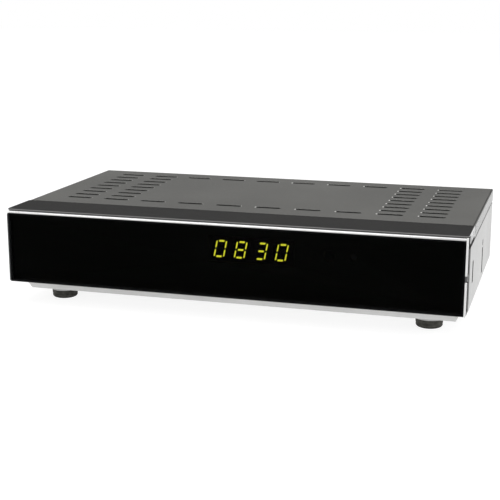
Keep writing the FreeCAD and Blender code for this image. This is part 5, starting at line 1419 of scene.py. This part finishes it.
@dataclass
class MainsSide:
    """The mains inlet and the rocker switch.

    Attributes:
        housing_edge: Rounding of the inlet and of the switch's housing.
        soft_edge: Rounding of the rocker and of the pins' tips.
        rocker_reach: How long each half of the rocker is.
        rocker_tilt: How far the rocker's two halves lean, in degrees.
        mark_height: How far the stroke stands out of the rocker.
        mark_width: How wide the stroke and the circle's line are.
        stroke_span: How far above the rocker's middle the stroke starts and ends.
        circle_radius: Radius of the circle.
        circle_drop: How far below the rocker's middle it lies.
    """

    housing_edge: float = 0.25 * MM
    soft_edge: float = 0.35 * MM
    rocker_reach: float = 7.5 * MM
    rocker_tilt: float = 18.0
    mark_height: float = 0.12 * MM
    mark_width: float = 0.55 * MM
    stroke_span: tuple[float, float] = (2.6 * MM, 5.8 * MM)
    circle_radius: float = 1.5 * MM
    circle_drop: float = 3.9 * MM

    def build(self) -> None:
        """Models and dresses the mains pieces."""
        round_nodes([(node, BLACK_PLASTIC, "black_plastic") for node in ("mains_inlet", "switch_housing")],
                    self.housing_edge)
        rocker = Piece.from_node("switch_rocker").bevelled(self.soft_edge, 3, 12.0).smooth()
        rocker.dress(BLACK_PLASTIC, "black_plastic", ROCKER)
        round_nodes((("mains_pins", NICKEL, "nickel"),), self.soft_edge, 3)
        self.build_marks()

    def build_marks(self) -> None:
        """The stroke on the rocker's pressed half and the circle on its raised half."""
        low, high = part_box("switch_rocker")
        centre_x = (low.x + high.x) / 2
        valley = (low.z + high.z) / 2
        lean = math.radians(self.rocker_tilt)
        face = high.y - self.rocker_reach * math.sin(lean)
        half = self.mark_width / 2
        first, last = self.stroke_span
        stroke = Piece.block("rocker_stroke", (centre_x - half, face - 0.2 * MM, valley + first),
                             (centre_x + half, face + self.mark_height, valley + last))
        stroke.bevelled(0.06 * MM, 2).smooth().dress(PAINT_MARK, "insulator_white", ROCKER)
        clear_selection()
        drop = self.circle_drop
        place = (centre_x, face + drop * math.sin(lean), valley - drop * math.cos(lean))
        bpy.ops.mesh.primitive_torus_add(major_radius=self.circle_radius, minor_radius=half,
                                         major_segments=32, minor_segments=8, location=place,
                                         rotation=(math.pi / 2, 0.0, 0.0))
        circle = Piece(bpy.context.object).named("rocker_circle")
        circle.squeezed(lambda corner: True, place, (1.0, 0.5, 1.0))
        circle.tilted(self.rocker_tilt, "X", place).smooth(60.0).dress(PAINT_MARK, "insulator_white", ROCKER)


@dataclass
class Boards:
    """The main board and the power board with what they carry.

    Attributes:
        leg_pitch: How far the processor's legs lie apart.
        leg_width: Width of a leg.
        leg_steps: How far a leg runs out, then out and down, then out again on the board.
        leg_room: What the legs leave free of each side's length.
        part_length: Length of a chip resistor.
        part_width: Its width.
        part_height: Its height.
        part_room: How much room a small part needs on every side.
        coil_room: How much room a coil needs on every side.
        coil_count: How many coils there are at most.
        coil_rings: How high each ring of a coil lies and its radius.
        coil_stand: How far the coils stand off the board.
        leg_reach: How far beside the processor its legs need room.
        row_step: How far apart the rows of free places lie.
        column_step: How far apart their columns lie.
        row_shift: How far each of three rows is set off sideways from the one before it.
        column_shift: How far every other column is set back.
    """

    leg_pitch: float = 0.8 * MM
    leg_width: float = 0.35 * MM
    leg_steps: tuple[Ring, ...] = (
        (0.9 * MM, 0.0), (0.35 * MM, -0.5 * MM), (0.7 * MM, 0.0))
    leg_room: float = 2.0 * MM
    part_length: float = 2.0 * MM
    part_width: float = 1.25 * MM
    part_height: float = 0.6 * MM
    part_room: float = 3.0 * MM
    coil_room: float = 5.0 * MM
    coil_count: int = 4
    coil_rings: tuple[Ring, ...] = (
        (0.0, 3.4 * MM), (0.8 * MM, 3.6 * MM), (1.0 * MM, 2.7 * MM), (3.2 * MM, 2.7 * MM),
        (3.4 * MM, 3.6 * MM), (4.2 * MM, 3.4 * MM))
    coil_stand: float = 0.62 * MM
    leg_reach: float = 3.0 * MM
    row_step: float = 6.0 * MM
    column_step: float = 7.0 * MM
    row_shift: float = 1.1 * MM
    column_shift: float = 1.3 * MM

    def build(self) -> None:
        """Models and dresses the boards' pieces."""
        paint_nodes((
            ("main_board", BOARD_GREEN),
            ("main_board_standoffs", BRASS),
            ("main_board_screws", SCREW_ZINC),
            ("processor_heatsink", ALUMINIUM),
            ("board_headers", WHITE_PLASTIC),
            ("power_board", BOARD_BROWN),
            ("power_board_standoffs", BRASS),
            ("power_board_screws", SCREW_ZINC),
            ("power_insulator", FILM),
            ("mains_fuse", WHITE_PLASTIC),
            ("power_harness", WIRE_RED),
            ("mains_leads", WIRE_BLUE),
            ("front_ribbon", RIBBON),
        ))
        for node, finish, slot, width in (
            ("processor", CHIP, "chip_black", 0.15 * MM),
            ("memory_chips", CHIP, "chip_black", 0.12 * MM),
            ("board_capacitors", SLEEVE, "capacitor_sleeve", 0.3 * MM),
            ("power_capacitors", SLEEVE, "capacitor_sleeve", 0.5 * MM),
            ("transformer", COIL_TAPE, "transformer_tape", 0.6 * MM),
            ("power_heatsink", ALUMINIUM, "heat_aluminium", 0.3 * MM),
        ):
            round_nodes(((node, finish, slot),), width, 3)
        self.build_legs()
        self.build_small_parts()
        self.build_coils()

    def build_legs(self) -> None:
        """Bent legs along the two long sides of the processor."""
        low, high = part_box("processor")
        middle_y = (low.y + high.y) / 2
        half = self.leg_width / 2
        count = int((high.y - low.y - self.leg_room) / self.leg_pitch)
        first, *further = self.leg_steps
        for side, inner in ((-1, low.x), (1, high.x)):
            outer = inner + side * first[0]
            start = (min(inner, outer), middle_y - half, low.z + 0.55 * MM)
            end = (max(inner, outer), middle_y + half, low.z + 0.75 * MM)
            leg = Piece.block("processor_leg", start, end)
            leg.pick_faces(lambda middle, normal: normal.x * side > 0.9)
            for out, rise in further:
                move = {"value": (side * out, 0.0, rise)}
                bpy.ops.mesh.extrude_region_move(TRANSFORM_OT_translate=move)
            leg.leave_edit()
            shifts = [(0.0, (i - (count - 1) / 2) * self.leg_pitch, 0.0) for i in range(count)]
            name = f"processor_legs_{'left' if side < 0 else 'right'}"
            leg.copies(name, shifts).smooth().dress(TIN, "tin_plate")

    def free_spots(self, reach: float) -> list[tuple[float, float]]:
        """Places on the main board that are clear of everything that stands on it.

        Args:
            reach: How much room each place needs on every side.

        Returns:
            The places, as x and y.
        """
        board_low, board_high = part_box("main_board")
        taken = [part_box(node) for node in MAIN_BOARD_NODES]
        low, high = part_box("processor")
        legs = Vector((self.leg_reach, self.leg_reach, 0.0))
        taken.append((low - legs, high + legs))
        spots = []
        rows = int((board_high.y - board_low.y) / self.row_step)
        columns = int((board_high.x - board_low.x) / self.column_step)
        for row in range(1, rows):
            for column in range(1, columns):
                x = board_low.x + column * self.column_step + (row % 3) * self.row_shift
                y = board_low.y + row * self.row_step + (column % 2) * self.column_shift
                if all(x + reach < low.x or x - reach > high.x or y + reach < low.y or y - reach > high.y
                       for low, high in taken):
                    spots.append((x, y))
        return spots

    def build_small_parts(self) -> None:
        """Chip resistors and ceramic chips with soldered ends, over the free part of the main board."""
        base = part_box("main_board")[1].z - NEAR
        spots = self.free_spots(self.part_room)
        for index, (name, finish) in enumerate((("chip_resistors", CHIP), ("ceramic_chips", CERAMIC))):
            x, y = spots[index]
            left, right = x - self.part_length / 2, x + self.part_length / 2
            front, back = y - self.part_width / 2, y + self.part_width / 2
            body = Piece.block(name, (left, front, base), (right, back, base + self.part_height))
            body.bevelled(0.08 * MM, 1)
            start = (left - 0.05 * MM, front - 0.03 * MM, base)
            end = (left + 0.4 * MM, back + 0.03 * MM, base + self.part_height + 0.04 * MM)
            ends = Piece.block(f"{name}_ends", start, end)
            ends.pushed(lambda middle, normal: normal.x < -0.9, (-0.35 * MM, 0.0, 0.0), (1.0, 1.0, 0.4))
            shifts = [(spot[0] - x, spot[1] - y, 0.0) for spot in spots[index::2]]
            body.copies(name, shifts).smooth().dress(finish, "chip_black")
            both = shifts + [(shift[0] + self.part_length - 0.3 * MM, shift[1], 0.0) for shift in shifts]
            ends.copies(f"{name}_ends", both).smooth().dress(SOLDER, "tin_plate")

    def build_coils(self) -> None:
        """Low coils in ferrite bodies, spread over the wider free places of the main board."""
        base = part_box("main_board")[1].z + self.coil_stand
        spots = self.free_spots(self.coil_room)
        chosen = spots[:: max(1, len(spots) // self.coil_count)][:self.coil_count]
        if not chosen:
            return
        x, y = chosen[0]
        coil = Piece.turned("board_coils", (x, y, base), Axis.UP, self.coil_rings, 28)
        shifts = [(spot[0] - x, spot[1] - y, 0.0) for spot in chosen]
        coil.bevelled(0.15 * MM).copies("board_coils", shifts).smooth().dress(FERRITE, "chip_black")


@dataclass
class Studio:
    """The pale floor, the soft lamps and the camera.

    Attributes:
        floor_size: Side of the floor.
        floor_colour: Diffuse part of the floor.
        floor_lift: What the floor adds for the eye and for reflections.
        sky: Level of the light from all around.
        focal: The camera's focal length, in millimetres.
        sensor: Width of its sensor, in millimetres.
        eye: Where the camera stands.
        tilt: How far it is tipped up from looking straight down, in degrees.
        turn: How far it is turned to the left, in degrees.
    """

    floor_size: float = 8.0
    floor_colour: float = 0.24
    floor_lift: float = 0.86
    sky: float = 0.6
    focal: float = 81.49
    sensor: float = 36.0
    eye: Place = (0.196786, -0.694001, 0.194865)
    tilt: float = 76.7925
    turn: float = 16.5097

    def build(self) -> None:
        """Sets up the floor, the world, the lamps and the camera."""
        self.build_floor()
        self.build_world()
        self.build_lamp("lamp_top", (0.1, -0.2, 1.6), (0.0, 0.0, 0.0), 1.6, 13.0)
        self.build_lamp("lamp_right", (1.5, -0.2, 0.55), (0.0, 0.0, 0.03), 1.0, 11.0)
        self.build_lamp("lamp_front", (-0.7, -1.5, 1.0), (0.0, 0.0, 0.03), 1.2, 13.0)
        self.build_camera()

    def seen(self, graph: Graph) -> Socket:
        """1 for rays from the eye, in reflections and through glass, and 0 for the rest.

        Args:
            graph: The graph that the nodes are added to.

        Returns:
            That level.
        """
        path = graph.add("ShaderNodeLightPath").outputs
        direct = graph.maths("MAXIMUM", path["Is Camera Ray"], path["Is Glossy Ray"])
        return graph.maths("MAXIMUM", direct, path["Is Transmission Ray"])

    def build_floor(self) -> None:
        """A wide pale floor that keeps the shadow."""
        clear_selection()
        bpy.ops.mesh.primitive_plane_add(size=self.floor_size, location=(0.0, 0.0, 0.0))
        floor = Piece(bpy.context.object).named("studio_floor")
        graph = Graph("studio_floor")
        paper = graph.noise(6.0)
        low = (self.floor_colour * 0.99,) * 3
        high = (self.floor_colour,) * 3
        graph.join(graph.ramp(paper, ((0.3, low), (0.7, high))), graph.shader.inputs["Base Color"])
        graph.set(Roughness=1.0, Specular_IOR_Level=0.0, Emission_Color=(1.0, 1.0, 1.0, 1.0))
        graph.join(graph.maths("MULTIPLY", self.seen(graph), self.floor_lift),
                   graph.shader.inputs["Emission Strength"])
        floor.object.data.materials.append(graph.material)

    def build_world(self) -> None:
        """Even light from all around that looks white to the eye."""
        world = bpy.data.worlds.new("studio_world")
        bpy.context.scene.world = world
        world.use_nodes = True
        tree = world.node_tree
        tree.nodes.clear()
        background = tree.nodes.new("ShaderNodeBackground")
        output = tree.nodes.new("ShaderNodeOutputWorld")
        path = tree.nodes.new("ShaderNodeLightPath")
        tree.links.new(background.outputs["Background"], output.inputs["Surface"])
        largest = path.outputs["Is Camera Ray"]
        for name in ("Is Glossy Ray", "Is Transmission Ray"):
            node = tree.nodes.new("ShaderNodeMath")
            node.operation = "MAXIMUM"
            tree.links.new(largest, node.inputs[0])
            tree.links.new(path.outputs[name], node.inputs[1])
            largest = node.outputs["Value"]
        level = tree.nodes.new("ShaderNodeMapRange")
        level.inputs["To Min"].default_value = self.sky
        level.inputs["To Max"].default_value = 1.0
        tree.links.new(largest, level.inputs["Value"])
        tree.links.new(level.outputs["Result"], background.inputs["Strength"])
        background.inputs["Color"].default_value = (1.0, 1.0, 1.0, 1.0)

    def build_lamp(self, name: str, place: Place, target: Place, size: float, power: float) -> None:
        """Adds one soft lamp.

        Args:
            name: The lamp's name.
            place: Where it hangs.
            target: Where it points.
            size: Side of its panel.
            power: Its power in watts.
        """
        lamp = bpy.data.lights.new(name, "AREA")
        lamp.shape = "SQUARE"
        lamp.size = size
        lamp.energy = power
        holder = bpy.data.objects.new(name, lamp)
        bpy.context.scene.collection.objects.link(holder)
        holder.location = place
        heading = Vector(target) - Vector(place)
        holder.rotation_euler = heading.to_track_quat("-Z", "Y").to_euler()

    def build_camera(self) -> None:
        """Sets the camera at the product view."""
        lens = bpy.data.cameras.new("product_camera")
        lens.lens = self.focal
        lens.sensor_width = self.sensor
        camera = bpy.data.objects.new("product_camera", lens)
        bpy.context.scene.collection.objects.link(camera)
        camera.location = self.eye
        camera.rotation_euler = (math.radians(self.tilt), 0.0, math.radians(self.turn))
        bpy.context.scene.camera = camera


def main() -> None:
    """Builds every sub-assembly and the studio."""
    logging.basicConfig(level=logging.INFO, format="%(message)s")
    bpy.context.scene.view_settings.view_transform = "Standard"
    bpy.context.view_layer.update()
    for assembly in (Lid(), FrontPanel(), Display(), Case(), RearSockets(), MainsSide(), Boards(), Studio()):
        assembly.build()
        LOG.info("finished %s", type(assembly).__name__)
    clear_selection()


if __name__ == "__main__":
    main()
